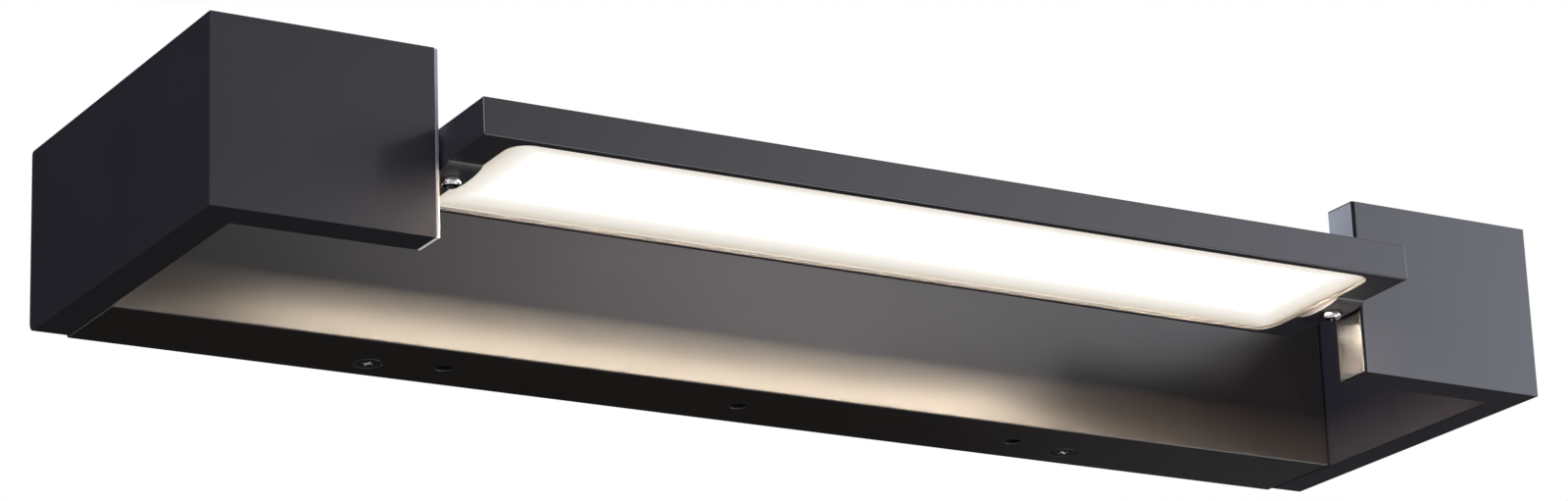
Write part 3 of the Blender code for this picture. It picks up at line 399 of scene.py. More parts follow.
zinc = zinc_plated()
low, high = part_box("wall_bracket")
bracket = block("mounting_plate", (low.x, high.y - BRACKET_SHEET, low.z), high)
pick(bracket, lambda edge: along(edge, Y_AXIS), "EDGE")
eased(SLOT_WIDTH / 2, steps=8)
for side in (-1, 1):
    for base in (low.z, high.z - BRACKET_SHEET):
        lug = block("lug", (side * LOCK_X - LUG_WIDTH / 2, low.y, base),
                    (side * LOCK_X + LUG_WIDTH / 2, high.y - BRACKET_SHEET / 2, base + BRACKET_SHEET))
        pick(lug, lambda edge: along(edge, Z_AXIS) and near(middle(edge).y, low.y), "EDGE")
        eased(LUG_CORNER, steps=8)
        combined(bracket, lug, "UNION")
pick(bracket, lambda edge: along(edge, X_AXIS) and near(middle(edge).y, high.y - BRACKET_SHEET)
     and min(middle(edge).z - low.z, high.z - middle(edge).z) > TOUCH, "EDGE")
eased(LUG_BEND, steps=6)
for side in (-1, 1):
    combined(bracket, rod("punch", LOCK_HOLE, (side * LOCK_X, LOCK_Y, low.z - OVERRUN),
                          (side * LOCK_X, LOCK_Y, low.z + BRACKET_SHEET + OVERRUN)))
    centre = side * (high.x - SLOT_INSET)
    combined(bracket, upright_slab("slot", (centre - SLOT_LENGTH / 2, low.y / 2, -SLOT_WIDTH / 2),
                                   (centre + SLOT_LENGTH / 2, OVERRUN, SLOT_WIDTH / 2),
                                   SLOT_WIDTH / 2 - TOUCH, Y_AXIS))
for place, radius in (CABLE_HOLE, PEG_HOLE, EARTH_HOLE, *DRIVER_HOLES):
    combined(bracket, rod("punch", radius, (place, -OVERRUN - BRACKET_SHEET, 0), (place, OVERRUN, 0)))
rounded(bracket, PUNCHED_EDGE, steps=2)
stands_for(bracket, "wall_bracket", "frame", zinc)
coat_nodes(zinc, "clinch_nut_left", "clinch_nut_right", "frame_screw_left_top", "frame_screw_left_bottom",
           "frame_screw_right_top", "frame_screw_right_bottom", "driver_screw_left", "driver_screw_right",
           "pivot_nut_left", "pivot_nut_right", "spring_washer_left", "spring_washer_right",
           "pivot_shaft_left", "pivot_shaft_right")


# Cable grommet, and the one on the lamp's lead
# Moulded black rubber rings, pressed into the cable entry and into the tray's end so that the
# sheet's edge can't cut a lead.
RUBBER_DARK = (0.018, 0.018, 0.019)
RUBBER_WORN = (0.035, 0.034, 0.033)
DUST_SPOT = 3.0 * MM
RUBBER_PORE = 0.18 * MM
RUBBER_RELIEF = 0.02 * MM
RUBBER_ROUGH = 0.66
DUST_ROUGH = 0.2


def moulded_rubber():
    """Matt black rubber with a fine moulded grain and a little dust."""
    finish = coated("rubber", Specular_IOR_Level=0.35)
    dust = finish.grain(DUST_SPOT, 5.0)
    pores = finish.grain(RUBBER_PORE, 3.0)
    finish.shows("Base Color", finish.blended(dust, RUBBER_DARK, RUBBER_WORN))
    finish.shows("Roughness", RUBBER_ROUGH + DUST_ROUGH * dust)
    finish.raised(pores, RUBBER_RELIEF)
    return finish.owner


coat_nodes(moulded_rubber(), "cable_grommet", "frame_grommet")


# Terminal block and earth screw
# The block is a pale glass-filled nylon moulding with three wire ways, pegged to the bracket.
# The earth screw is brass, driven into the bracket beside it.
BLOCK_PALE = (0.80, 0.79, 0.75)
BLOCK_SHADE = (0.70, 0.68, 0.63)
BRASS_BRIGHT = (0.80, 0.60, 0.30)
BRASS_DULL = (0.58, 0.42, 0.20)
MOULD_CLOUD = 12.0 * MM
PORE_ROUGH = 0.12
TARNISH_SPOT = 1.6 * MM
TARNISH_ROUGH = 0.4
TOOL_MARK = 0.08 * MM
TOOL_STRETCH = (1, 1, 6)
TOOL_RELIEF = 0.002 * MM


def moulded(name, pale, shade, roughness, pore, depth):
    """Moulded plastic: a slow change of tone and a fine spark-eroded texture."""
    finish = coated(name)
    cloud = finish.grain(MOULD_CLOUD, 3.0)
    pores = finish.grain(pore, 3.0)
    finish.shows("Base Color", finish.blended(cloud, pale, shade))
    finish.shows("Roughness", roughness + PORE_ROUGH * pores)
    finish.raised(pores, depth)
    return finish.owner


def bright_metal(name, bright, dull, roughness):
    """Turned metal with fine tool marks and a slight tarnish."""
    finish = coated(name, Metallic=1.0)
    tarnish = finish.grain(TARNISH_SPOT, 4.0)
    turned = finish.grain(TOOL_MARK, 2.0, TOOL_STRETCH)
    finish.shows("Base Color", finish.blended(tarnish, bright, dull))
    finish.shows("Roughness", roughness + TARNISH_ROUGH * roughness * tarnish)
    finish.raised(turned, TOOL_RELIEF)
    return finish.owner


terminal_plastic = moulded("terminal_plastic", BLOCK_PALE, BLOCK_SHADE, roughness=0.42, pore=0.3 * MM,
                           depth=0.01 * MM)
coat_nodes(terminal_plastic, "terminal_block")
coat_nodes(bright_metal("brass", BRASS_BRIGHT, BRASS_DULL, roughness=0.28), "earth_screw")


# Driver and leads
# The constant-current driver is a white plastic case held by two screws. A sheathed lead brings
# the mains to it and a thin one runs through side wall, flange and pivot to the lamp head. The
# pivots' nylon washers are moulded too.
CASE_PALE = (0.84, 0.84, 0.83)
CASE_SHADE = (0.77, 0.77, 0.75)
SHEATH_PALE = (0.80, 0.79, 0.76)
SHEATH_SHADE = (0.72, 0.70, 0.66)
NYLON_PALE = (0.78, 0.77, 0.71)
NYLON_SHADE = (0.68, 0.66, 0.58)

driver_case = moulded("driver_case", CASE_PALE, CASE_SHADE, roughness=0.45, pore=0.35 * MM, depth=0.012 * MM)
coat_nodes(driver_case, "led_driver")
white_sheath = moulded("white_sheath", SHEATH_PALE, SHEATH_SHADE, roughness=0.5, pore=0.2 * MM,
                       depth=0.006 * MM)
coat_nodes(white_sheath, "mains_lead", "supply_lead")
nylon = moulded("nylon", NYLON_PALE, NYLON_SHADE, roughness=0.4, pore=0.15 * MM, depth=0.003 * MM)
coat_nodes(nylon, "friction_washer_left", "friction_washer_right")


# Back housing
# A tray folded from 1.2 mm sheet steel and painted satin black, open towards the wall. Its
# underside has a pressed countersink for each lock screw and three small round drain holes.
SHEET = 1.2 * MM
SHEET_EDGE = 0.45 * MM
DIMPLE_HEIGHT = 3.2 * MM
DIMPLE_WIDE = 5.3 * MM
DIMPLE_NARROW = 3.3 * MM
SINK_MOUTH = 4.3 * MM
SINK_HEIGHT = 2.2 * MM
SINK_EDGE = 0.3 * MM
DRAIN_RADIUS = 2.3 * MM
DRAIN_PITCH = 92.0 * MM
DRAIN_Y = -14.6 * MM
FRAME_SCREW_HOLE = 1.8 * MM
FRAME_SCREW_Y = -15.25 * MM
FRAME_SCREW_Z = 14.0 * MM
LEAD_HOLE = (4.3 * MM, -11.8 * MM, -0.8 * MM)
HOLE_MARGIN = 0.1 * MM
PAINT_CLOUD = 35.0 * MM
PAINT_PEEL = 1.4 * MM
PAINT_TOOTH = 0.3 * MM
PAINT_RELIEF = 0.006 * MM
TOOTH_HEIGHT = 0.25
PAINT_ROUGH = 0.04
SHEET_STREAK = 0.7 * MM
STREAK_STRETCH = (90, 1, 1)
STREAK_HEIGHT = 6
TRAY_ROUGH = 0.262
TRAY_STREAKS = 0.05
FOOT_HEIGHT = 8.0 * MM
FOOT_DULLER = 0.15
# One paint in two tones: the tray's warmer, lighter black is partly a painted glow from the opal cover, and
# the frame's and head's violet black partly a painted cool cast.
TRAY_BLACK = ((0.0150, 0.0126, 0.0112), (0.0200, 0.0171, 0.0154))
FRAME_BLACK = ((0.0090, 0.0082, 0.0118), (0.0127, 0.0117, 0.0162))


def panel_foot(finish):
    """1 along the foot of the tray's front panel, where the paint is duller, and 0 a little above it."""
    y, z = finish.axes()[1:]
    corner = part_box("back_housing")[0]
    return (1 - (z - corner.z) / FOOT_HEIGHT).held() * (y < corner.y + SHEET / 2)


def satin_black(name, tones, roughness, rolling=0.0, opening=False):
    """Satin black paint: soft clouding and a faint orange peel.

    Rolled sheet adds fine level streaks and a duller foot, and the lamp head a painted glow on its opening's
    walls, palest at the opal cover.
    """
    finish = coated(name, IOR=1.5)
    cloud = finish.grain(PAINT_CLOUD, 3.0)
    peel = finish.grain(PAINT_PEEL, 2.0)
    tooth = finish.grain(PAINT_TOOTH, 2.0)
    streaks = finish.grain(SHEET_STREAK, 3.0, STREAK_STRETCH)
    tone = finish.blended(cloud, *tones)
    relief = peel + TOOTH_HEIGHT * tooth + rolling * STREAK_HEIGHT * streaks
    if opening:
        inside, wall_glow = opening_walls(finish)
        # The opening's walls take a painted glow from the opal cover.
        tone = finish.blended(wall_glow, tone, PAINTED_WALL_GLOW)
        relief = relief * (1 - inside)
    finish.shows("Base Color", tone)
    rough = roughness + PAINT_ROUGH * cloud + PAINT_ROUGH * tooth + rolling * (streaks - 0.5)
    if rolling:
        rough = rough + FOOT_DULLER * panel_foot(finish)
    finish.shows("Roughness", rough)
    finish.raised(relief, PAINT_RELIEF)
    return finish.owner


tray_black = satin_black("satin_black_tray", TRAY_BLACK, TRAY_ROUGH, rolling=TRAY_STREAKS)
low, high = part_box("back_housing")
tray = block("tray", low, high)
pick(tray, lambda face: face.normal.y > 0.5)
bpy.ops.mesh.delete(type="ONLY_FACE")
shaped(tray, "SOLIDIFY", thickness=SHEET, offset=-1, use_even_offset=True)
rounded(tray, SHEET_EDGE)
for side in (-1, 1):
    place = Vector((side * LOCK_X, LOCK_Y, low.z))
    up = Vector((0, 0, 1))
    combined(tray, rod("dimple", DIMPLE_WIDE, place + up * SHEET / 2, place + up * DIMPLE_HEIGHT,
                       DIMPLE_NARROW), "UNION")
    slope = (SINK_MOUTH - LOCK_HOLE) / SINK_HEIGHT
    combined(tray, rod("countersink", SINK_MOUTH + slope * OVERRUN, place - up * OVERRUN,
                       place + up * SINK_HEIGHT, LOCK_HOLE))
    combined(tray, rod("hole", LOCK_HOLE, place - up * OVERRUN, place + up * (DIMPLE_HEIGHT + OVERRUN)))
    for row in (-1, 1):
        place = Vector((side * high.x, FRAME_SCREW_Y, row * FRAME_SCREW_Z))
        out = Vector((side * OVERRUN, 0, 0))
        combined(tray, rod("hole", FRAME_SCREW_HOLE, place + out, place - out))
for step in (-1, 0, 1):
    place = Vector((step * DRAIN_PITCH, DRAIN_Y, low.z))
    combined(tray, rod("drain", DRAIN_RADIUS, place - up * OVERRUN, place + up * OVERRUN))
place = Vector((high.x, *LEAD_HOLE[1:]))
out = Vector((OVERRUN, 0, 0))
combined(tray, rod("hole", LEAD_HOLE[0], place + out, place - out))


def around(edge, spots, radius, level):
    """Whether an edge is on the rim of one of some round holes at a level."""
    spot = middle(edge)
    if not near(spot.z, level):
        return False
    return any(abs(math.dist(spot.xy, hole) - radius) < HOLE_MARGIN for hole in spots)


sinks = [(side * LOCK_X, LOCK_Y) for side in (-1, 1)]
pick(tray, lambda edge: around(edge, sinks, SINK_MOUTH, low.z), "EDGE")
eased(SINK_EDGE)
drains = [(step * DRAIN_PITCH, DRAIN_Y) for step in (-1, 0, 1)]
pick(tray, lambda edge: around(edge, drains, DRAIN_RADIUS, low.z), "EDGE")
eased(PUNCHED_EDGE)
stands_for(tray, "back_housing", "frame", tray_black)


# End frames
# An L-shaped box of the same painted sheet at each end: a thick side wall, and a flange across
# its front. The flange is open towards the lamp head, where a cap closes it.
FLANGE_DEPTH = 11.0 * MM
SIDE_DEPTH = 10.0 * MM
TOP_REAR_CORNER = 1.1 * MM
LOW_REAR_CORNER = 2.8 * MM
COLLAR_RADIUS = 3.0 * MM
COLLAR_LENGTH = 2.5 * MM
FRAME_ROUGH = 0.355


def mirrored(piece, name):
    """A mirror copy for the other end, with its own mesh and its faces turned out again."""
    hold(piece)
    bpy.ops.object.duplicate()
    copy = bpy.context.object
    copy.name = name
    copy.data.name = name
    copy.scale.x = -1
    bpy.ops.object.transform_apply()
    pick(copy, lambda face: True)
    bpy.ops.mesh.normals_make_consistent(inside=False)
    clear()
    return copy


frame_black = satin_black("satin_black_frame", FRAME_BLACK, FRAME_ROUGH)
low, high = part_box("end_frame_left")
flange_back = low.y + FLANGE_DEPTH
side_inner = low.x + SIDE_DEPTH
left_end = block("left_end_frame", low, (side_inner, high.y, high.z))
pick(left_end, lambda face: True)
bpy.ops.mesh.bisect(plane_co=(0, flange_back, 0), plane_no=(0, 1, 0))
pick(left_end, lambda face: face.normal.x > 0.5 and middle(face).y < flange_back)
pulled(high.x - side_inner, 0, 0)
for level, corner in ((high.z, TOP_REAR_CORNER), (low.z, LOW_REAR_CORNER)):
    pick(left_end, lambda edge: along(edge, X_AXIS) and near(middle(edge).y, high.y)
         and near(middle(edge).z, level), "EDGE")
    eased(corner, steps=8)
pick(left_end, lambda face: face.normal.x > 0.5 and near(middle(face).x, high.x))
bpy.ops.mesh.delete(type="ONLY_FACE")
shaped(left_end, "SOLIDIFY", thickness=SHEET, offset=-1, use_even_offset=True)
rounded(left_end, SHEET_EDGE)
for row in (-1, 1):
    place = Vector((side_inner, FRAME_SCREW_Y, row * FRAME_SCREW_Z))
    inwards = Vector((-1, 0, 0))
    combined(left_end, rod("collar", COLLAR_RADIUS, place + inwards * SHEET / 2,
                           place + inwards * (SHEET + COLLAR_LENGTH)), "UNION")
    combined(left_end, rod("thread", FRAME_SCREW_HOLE, place - inwards * OVERRUN,
                           place + inwards * (SHEET + COLLAR_LENGTH + OVERRUN)))
right_end = mirrored(left_end, "right_end_frame")
place = Vector((-side_inner, *LEAD_HOLE[1:]))
combined(right_end, rod("hole", LEAD_HOLE[0], place - out, place + out))
stands_for(left_end, "end_frame_left", "frame", frame_black)
stands_for(right_end, "end_frame_right", "frame", frame_black)


# Lock screws
# Blackened countersunk screws that hold the tray's underside to the bracket. The driver has worn
# their cross recesses bright, and their near-white tone there is also a painted glint.
LOCK_RADIUS = 2.0 * MM
LOCK_HEAD_RADIUS = 4.0 * MM
LOCK_HEAD_HEIGHT = 2.2 * MM
LOCK_LENGTH = 10.0 * MM
LOCK_TURNS = (math.radians(6), math.radians(38))
HEAD_LAND = 0.3 * MM
LOCK_CROSS_REACH = 0.66 * LOCK_HEAD_RADIUS
LOCK_CROSS_WIDTH = 0.14 * LOCK_HEAD_RADIUS
LOCK_CROSS_DEPTH = 0.6 * LOCK_HEAD_HEIGHT
CROSS_TAPER = 0.4
SCREW_BLACK = (0.045, 0.045, 0.048)
# Near-white in the recess: worn steel and a painted glint.
SCREW_WORN_GLINT = (0.86, 0.86, 0.88)
SCUFF = 0.5 * MM
SCUFF_RELIEF = 0.006 * MM
WORN_GLINT_REACH = 0.72 * LOCK_HEAD_RADIUS
WORN_GLINT_FADE = 0.3 * MM
WORN_GLINT_BELOW = 0.25 * MM
WORN_GLINT_SCATTER = 0.8
SCREW_ROUGH = 0.42
WORN_GLINT_SMOOTHER = 0.18
SCUFF_ROUGH = 0.1


def cross_cut(screw, reach, width, depth):
    """Cuts a tapering cross recess into a screw whose head faces down at level zero."""
    for spread in ((reach, width), (width, reach)):
        blade = block("blade", (-spread[0], -spread[1], -OVERRUN), (*spread, depth))
        pick(blade, lambda face: face.normal.z > 0.5)
        bpy.ops.transform.resize(value=(CROSS_TAPER, CROSS_TAPER, 1), center_override=(0, 0, depth))
        combined(screw, blade)


def black_screw_finish():
    """Black zinc plating, rubbed through to scratched bright steel inside the cross recess, whose near-white
    tone there is also a painted glint.
    """
    finish = coated("black_screw")
    x, y, z = finish.axes()
    from_axis = ((x.size() - LOCK_X) ** 2 + (y - LOCK_Y) ** 2) ** 0.5
    scuffs = finish.grain(SCUFF, 4.0)
    sunk = ((z - cad_box[0].z) / WORN_GLINT_BELOW).held()
    inside = ((WORN_GLINT_REACH - from_axis) / WORN_GLINT_FADE).held()
    # Where the recess is worn; its near-white tone there is also a painted glint.
    worn_glint = (sunk * inside * (0.5 + scuffs)).held()
    finish.shows("Base Color", finish.blended(worn_glint, SCREW_BLACK, SCREW_WORN_GLINT))
    finish.shows("Metallic", 1 - WORN_GLINT_SCATTER * worn_glint)
    finish.shows("Roughness", SCREW_ROUGH - WORN_GLINT_SMOOTHER * worn_glint + SCUFF_ROUGH * scuffs)
    finish.raised(scuffs, SCUFF_RELIEF)
    return finish.owner


lock_black = black_screw_finish()
for side, word, spin in ((-1, "left", LOCK_TURNS[0]), (1, "right", LOCK_TURNS[1])):
    screw = rod(word + "_lock_screw", LOCK_HEAD_RADIUS, (0, 0, HEAD_LAND), (0, 0, LOCK_HEAD_HEIGHT),
                LOCK_RADIUS)
    pick(screw, lambda face: face.normal.z < -0.5)
    pulled(0, 0, -HEAD_LAND)
    pick(screw, lambda edge: near(middle(edge).z, 0), "EDGE")
    eased(HEAD_LAND / 2)
    pick(screw, lambda face: face.normal.z > 0.9)
    pulled(0, 0, LOCK_LENGTH - LOCK_HEAD_HEIGHT)
    cross_cut(screw, LOCK_CROSS_REACH, LOCK_CROSS_WIDTH, LOCK_CROSS_DEPTH)
    seated(screw, (side * LOCK_X, LOCK_Y, cad_box[0].z), (0, 0, spin))
    stands_for(screw, "lock_screw_" + word, "frame", lock_black)


# Flange caps
# Aluminium plates over the open ends of the flanges, brushed and clear anodised, with eased
# edges. Two tongues locate each one, and the pivot's shaft is clamped in its hole. The right
# one's edges are black, a painted shade for the dark line that the photo shows beside it.
CAP_GAP = 0.05 * MM
CAP_EDGE = 0.15 * MM
TONGUE_LENGTH = 4.3 * MM
TONGUE_HALF = 4.0 * MM
TONGUE_LEVELS = (21.5 * MM, 23.5 * MM)
PIVOT_HOLE = 2.8 * MM
ALUMINIUM_PALE = (0.38, 0.375, 0.38)
ALUMINIUM_SHADE = (0.30, 0.295, 0.30)
# Sawn edges: pale cut aluminium, with painted light from the opal cover in their cream tone.
ALUMINIUM_CUT_PAINTED_LIGHT = (0.95, 0.90, 0.83)
# The left cap's front rim: a bluish painted reflection above, painted shade beside the head and cream
# painted light from the opal cover below.
RIM_HIGH_PAINTED_REFLECTION = (0.31, 0.315, 0.335)
RIM_MIDDLE_PAINTED_SHADE = (0.155, 0.16, 0.18)
RIM_LOW_PAINTED_LIGHT = (0.37, 0.335, 0.315)
# The right cap's rim and sawn edges: a painted shade.
RIM_BLACK_PAINTED_SHADE = (0.010, 0.010, 0.011)
RIM_DEPTH = 0.4 * MM
CAP_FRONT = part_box("flange_cap_left")[0].y
CUT_LEVEL = 24.6 * MM
RIM_FADE = 0.1 * MM
RIM_HIGH_FROM = 4.0 * MM
RIM_HIGH_OVER = 14.0 * MM
RIM_LOW_FROM = -5.0 * MM
RIM_LOW_OVER = 3.0 * MM
BRUSH_MARK = 0.12 * MM
BRUSH_STRETCH = (1, 1, 120)
BRUSH_RELIEF = 0.004 * MM
CAP_CLOUD = 7.0 * MM
CAP_ROUGH = 0.155
BRUSH_ROUGH = 0.08
CLOUD_ROUGH = 0.04
CUT_ROUGH = 0.22
PAINTED_CUT_ROUGH = 0.3


def brushed_aluminium():
    """Anodised aluminium, brushed along its height, with dull sawn edges at the front, above and below.

    The left cap's front rim has three tones over its height: a bluish painted reflection above, painted
    shade beside the head and cream painted light from the opal cover below.
    Its sawn edges are pale cut aluminium whose cream tone is partly painted light from the cover.
    The right cap's rim and sawn edges are black, a painted shade.
    """
    finish = coated("cap_aluminium")
    x, y, z = finish.axes()
    right = x > 0
    behind_rim = ((y - CAP_FRONT - RIM_DEPTH) / RIM_FADE).held()
    brushed = finish.grain(BRUSH_MARK, 3.0, BRUSH_STRETCH)
    cloud = finish.grain(CAP_CLOUD, 3.0)
    face = finish.blended((brushed + cloud) / 2, ALUMINIUM_PALE, ALUMINIUM_SHADE)
    # Painted reflection, painted shade and painted light over the left rim's height.
    rim = finish.blended(((z - RIM_HIGH_FROM) / RIM_HIGH_OVER).held(), RIM_MIDDLE_PAINTED_SHADE, RIM_HIGH_PAINTED_REFLECTION)
    rim = finish.blended(((RIM_LOW_FROM - z) / RIM_LOW_OVER).held(), rim, RIM_LOW_PAINTED_LIGHT)
    # The right cap's rim turns black, a painted shade.
    rim = finish.blended(right, rim, RIM_BLACK_PAINTED_SHADE)
    face = finish.blended(behind_rim, rim, face)
    milled = z.size() > CUT_LEVEL
    # Cream sawn edges on the left, partly painted light, and black ones on the right, a painted shade.
    cut_painted_light_and_shade = finish.blended(right, ALUMINIUM_CUT_PAINTED_LIGHT, RIM_BLACK_PAINTED_SHADE)
    finish.shows("Base Color", finish.blended(milled, face, cut_painted_light_and_shade))
    edge = (milled + 1 - behind_rim).held()
    finish.shows("Metallic", (1 - edge + right).held())
    finish.shows("Roughness", CAP_ROUGH + BRUSH_ROUGH * brushed + CLOUD_ROUGH * cloud
                 + (CUT_ROUGH + PAINTED_CUT_ROUGH * right) * edge)
    finish.raised(brushed, BRUSH_RELIEF)
    return finish.owner


joint = frame["joints"][0]
PIVOT = Vector(joint["pos_m"])
aluminium = brushed_aluminium()
low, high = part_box("flange_cap_left")
cap_low = (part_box("end_frame_left")[1].x + CAP_GAP, low.y, low.z)
left_cap = block("left_flange_cap", cap_low, high)
rounded(left_cap, CAP_EDGE, steps=3)
for row in (-1, 1):
    levels = sorted(row * level for level in TONGUE_LEVELS)
    tongue = block("tongue", (cap_low[0] - TONGUE_LENGTH, PIVOT.y - TONGUE_HALF, levels[0]),
                   (high.x - CAP_EDGE, PIVOT.y + TONGUE_HALF, levels[1]))
    combined(left_cap, tongue, "UNION")
combined(left_cap, rod("hole", PIVOT_HOLE, (cap_low[0] - OVERRUN, PIVOT.y, PIVOT.z),
                       (high.x + OVERRUN, PIVOT.y, PIVOT.z)))
right_cap = mirrored(left_cap, "right_flange_cap")
stands_for(left_cap, "flange_cap_left", "frame", aluminium)
stands_for(right_cap, "flange_cap_right", "frame", aluminium)


# Lamp head
# A slab milled from aluminium and painted like the frame. Under each end a shallow lobe carries
# the pivot, and a stepped pocket between them holds the LED board and its opal cover.
HEAD_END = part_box("head_body")[1].x
HEAD_HALF = 5.05 * MM
HEAD_FRONT = -28.4 * MM
HEAD_REAR = 26.2 * MM
HEAD_EDGE = 0.45 * MM
HEAD_TILT = math.radians(-1.5)
POCKET_END = 132.7 * MM
POCKET_FRONT = HEAD_FRONT + 2.5 * MM
POCKET_REAR = HEAD_REAR - 1.8 * MM
POCKET_LEDGE = 1.5 * MM
POCKET_DEPTH = 3.25 * MM
POCKET_CEILING = 3.55 * MM
POCKET_CORNER = 6.0 * MM
POCKET_LIP = 0.95 * MM
WALL_MARGIN = 0.05 * MM
# Painted light from the opal cover on the opening's walls.
PAINTED_WALL_GLOW = (0.50, 0.50, 0.49)
LOBE_LENGTH = 9.6 * MM
LOBE_HALF_WIDTH = 9.0 * MM
LOBE_DEPTH = 1.45 * MM
LOBE_EDGE = 0.5 * MM
SPOT_RADIUS = 2.9 * MM
SPOT_LEVEL = -6.3 * MM
SCREW_INSET = 5.0 * MM
SCREW_HOLE = 1.8 * MM
BORE_RADIUS = 2.8 * MM
BORE_DEPTH = 13.0 * MM
SINK_RADIUS = 4.3 * MM
SINK_DEPTH = 1.3 * MM


def opening_walls(finish):
    """1 on the opening's smooth walls and 0 elsewhere; and how much painted light from the opal cover they
    carry, most next to it.
    """
    x, y, z = finish.axes(finish.seated(PIVOT, HEAD_TILT))
    across = (x.size() < POCKET_END + WALL_MARGIN) * (y > POCKET_FRONT - WALL_MARGIN)
    across = across * (y < POCKET_REAR + WALL_MARGIN)
    inside = across * (z > -HEAD_HALF - WALL_MARGIN) * (z < POCKET_CEILING + WALL_MARGIN)
    return inside, inside * ((z + HEAD_HALF) / POCKET_LIP).held() ** 2


def on_pivots(piece):
    """Moves a piece from the pivots' own place to where the lamp head hangs."""
    return seated(piece, PIVOT, (HEAD_TILT, 0, 0))


lamp_head = block("lamp_head", (-HEAD_END, HEAD_FRONT, -HEAD_HALF), (HEAD_END, HEAD_REAR, HEAD_HALF))
rounded(lamp_head, HEAD_EDGE)
for side in (-1, 1):
    lobe = rod("lobe", LOBE_HALF_WIDTH, (side * HEAD_END, 0, -HEAD_HALF),
               (side * (HEAD_END - LOBE_LENGTH), 0, -HEAD_HALF), sides=128)
    pick(lobe, lambda edge: near(abs(middle(edge).x), HEAD_END), "EDGE")
    eased(LOBE_EDGE)
    pick(lobe, lambda face: True)
    bpy.ops.transform.resize(value=(1, 1, LOBE_DEPTH / LOBE_HALF_WIDTH), center_override=(0, 0, -HEAD_HALF))
    clear()
    combined(lamp_head, lobe, "UNION")
opening = upright_slab("opening", (-POCKET_END, POCKET_FRONT, -HEAD_HALF - OVERRUN),
                       (POCKET_END, POCKET_REAR, -HEAD_HALF + POCKET_DEPTH), POCKET_CORNER, Z_AXIS)
combined(lamp_head, opening)
pocket = upright_slab("pocket",
                      (POCKET_LEDGE - POCKET_END, POCKET_FRONT + POCKET_LEDGE, -HEAD_HALF - OVERRUN),
                      (POCKET_END - POCKET_LEDGE, POCKET_REAR - POCKET_LEDGE, POCKET_CEILING),
                      POCKET_CORNER - POCKET_LEDGE, Z_AXIS)
combined(lamp_head, pocket)
for side in (-1, 1):
    end = side * HEAD_END
    beyond = end + side * OVERRUN
    combined(lamp_head, rod("bore", BORE_RADIUS, (beyond, 0, 0), (end - side * BORE_DEPTH, 0, 0)))
    combined(lamp_head, rod("counterbore", SINK_RADIUS, (beyond, 0, 0), (end - side * SINK_DEPTH, 0, 0)))
    centre = end - side * SCREW_INSET
    below = (centre, 0, SPOT_LEVEL - OVERRUN)
    combined(lamp_head, rod("spot_face", SPOT_RADIUS, below, (centre, 0, SPOT_LEVEL)))
    combined(lamp_head, rod("hole", SCREW_HOLE, below, (centre, 0, 0)))
on_pivots(lamp_head)
head_black = satin_black("satin_black_head", FRAME_BLACK, FRAME_ROUGH, opening=True)
stands_for(lamp_head, "head_body", "head", head_black)


# LED board
# A white solder-masked board with two rows of LEDs, held to the pocket's ceiling by two small
# nickel-plated screws. Its yellow phosphor shows only with the cover off.
LED_TOP = 1.7 * MM
MASK_WHITE = (0.84, 0.84, 0.82)
MASK_SHADE = (0.78, 0.78, 0.75)
PHOSPHOR = (0.86, 0.62, 0.12)
MASK_CLOUD = 2.0 * MM
MASK_RELIEF = 0.005 * MM
MASK_ROUGH = 0.35
MASK_CLOUD_ROUGH = 0.1
NICKEL_BRIGHT = (0.50, 0.49, 0.49)
NICKEL_DULL = (0.40, 0.39, 0.39)


def board_finish():
    """White solder mask, with yellow phosphor on the faces of the LEDs."""
    finish = coated("white_board")
    z = finish.axes(finish.seated(PIVOT, HEAD_TILT))[Z_AXIS]
    cloud = finish.grain(MASK_CLOUD, 3.0)
    mask = finish.blended(cloud, MASK_WHITE, MASK_SHADE)
    finish.shows("Base Color", finish.blended(z < LED_TOP, mask, PHOSPHOR))
    finish.shows("Roughness", MASK_ROUGH + MASK_CLOUD_ROUGH * cloud)
    finish.raised(cloud, MASK_RELIEF)
    return finish.owner


coat_nodes(board_finish(), "led_board")
nickel = bright_metal("nickel_plated", NICKEL_BRIGHT, NICKEL_DULL, roughness=0.08)
coat_nodes(nickel, "board_screw_left", "board_screw_right")


# Opal cover
# A sheet of opal acrylic, 2 mm thick, that snaps into the pocket. It looks evenly white and falls
# off to a warm cream towards its edges. Its light is almost four times as strong at the right end,
# which is fitted to the wash on the panel in the photo and says nothing about the LEDs.
COVER_GAP = 0.05 * MM
COVER_LOW = -4.1 * MM
COVER_HIGH = -2.1 * MM
COVER_EDGE = 0.25 * MM
GLOW = 820.0
GLOW_NEAR = (1.0, 0.83, 0.64)
GLOW_FAR = (0.258, 0.214, 0.165)
FED_FROM = 105.0 * MM
FED_OVER = 14.0 * MM
GLOW_SKIN = (0.84 / GLOW, 0.83 / GLOW, 0.80 / GLOW)
GLOW_RIM = (0.31 / GLOW, 0.25 / GLOW, 0.18 / GLOW)
GLOW_LINE = (0.66 / GLOW, 0.58 / GLOW, 0.49 / GLOW)
LINE_WIDTH = 0.5 * MM
LINE_AT_FRONT = 0.6
LINE_AT_REAR = 0.4
OPAL_BODY = (0.30, 0.27, 0.21)
OPAL_GRAIN = 0.4 * MM
OPAL_RELIEF = 0.004 * MM
FADE_END = 9.0 * MM
FADE_FRONT = 6.0 * MM
FADE_REAR = 11.0 * MM
CORE_FADE = 5.0 * MM
SKIN_CURVE = 0.6
CORE_CURVE = 2


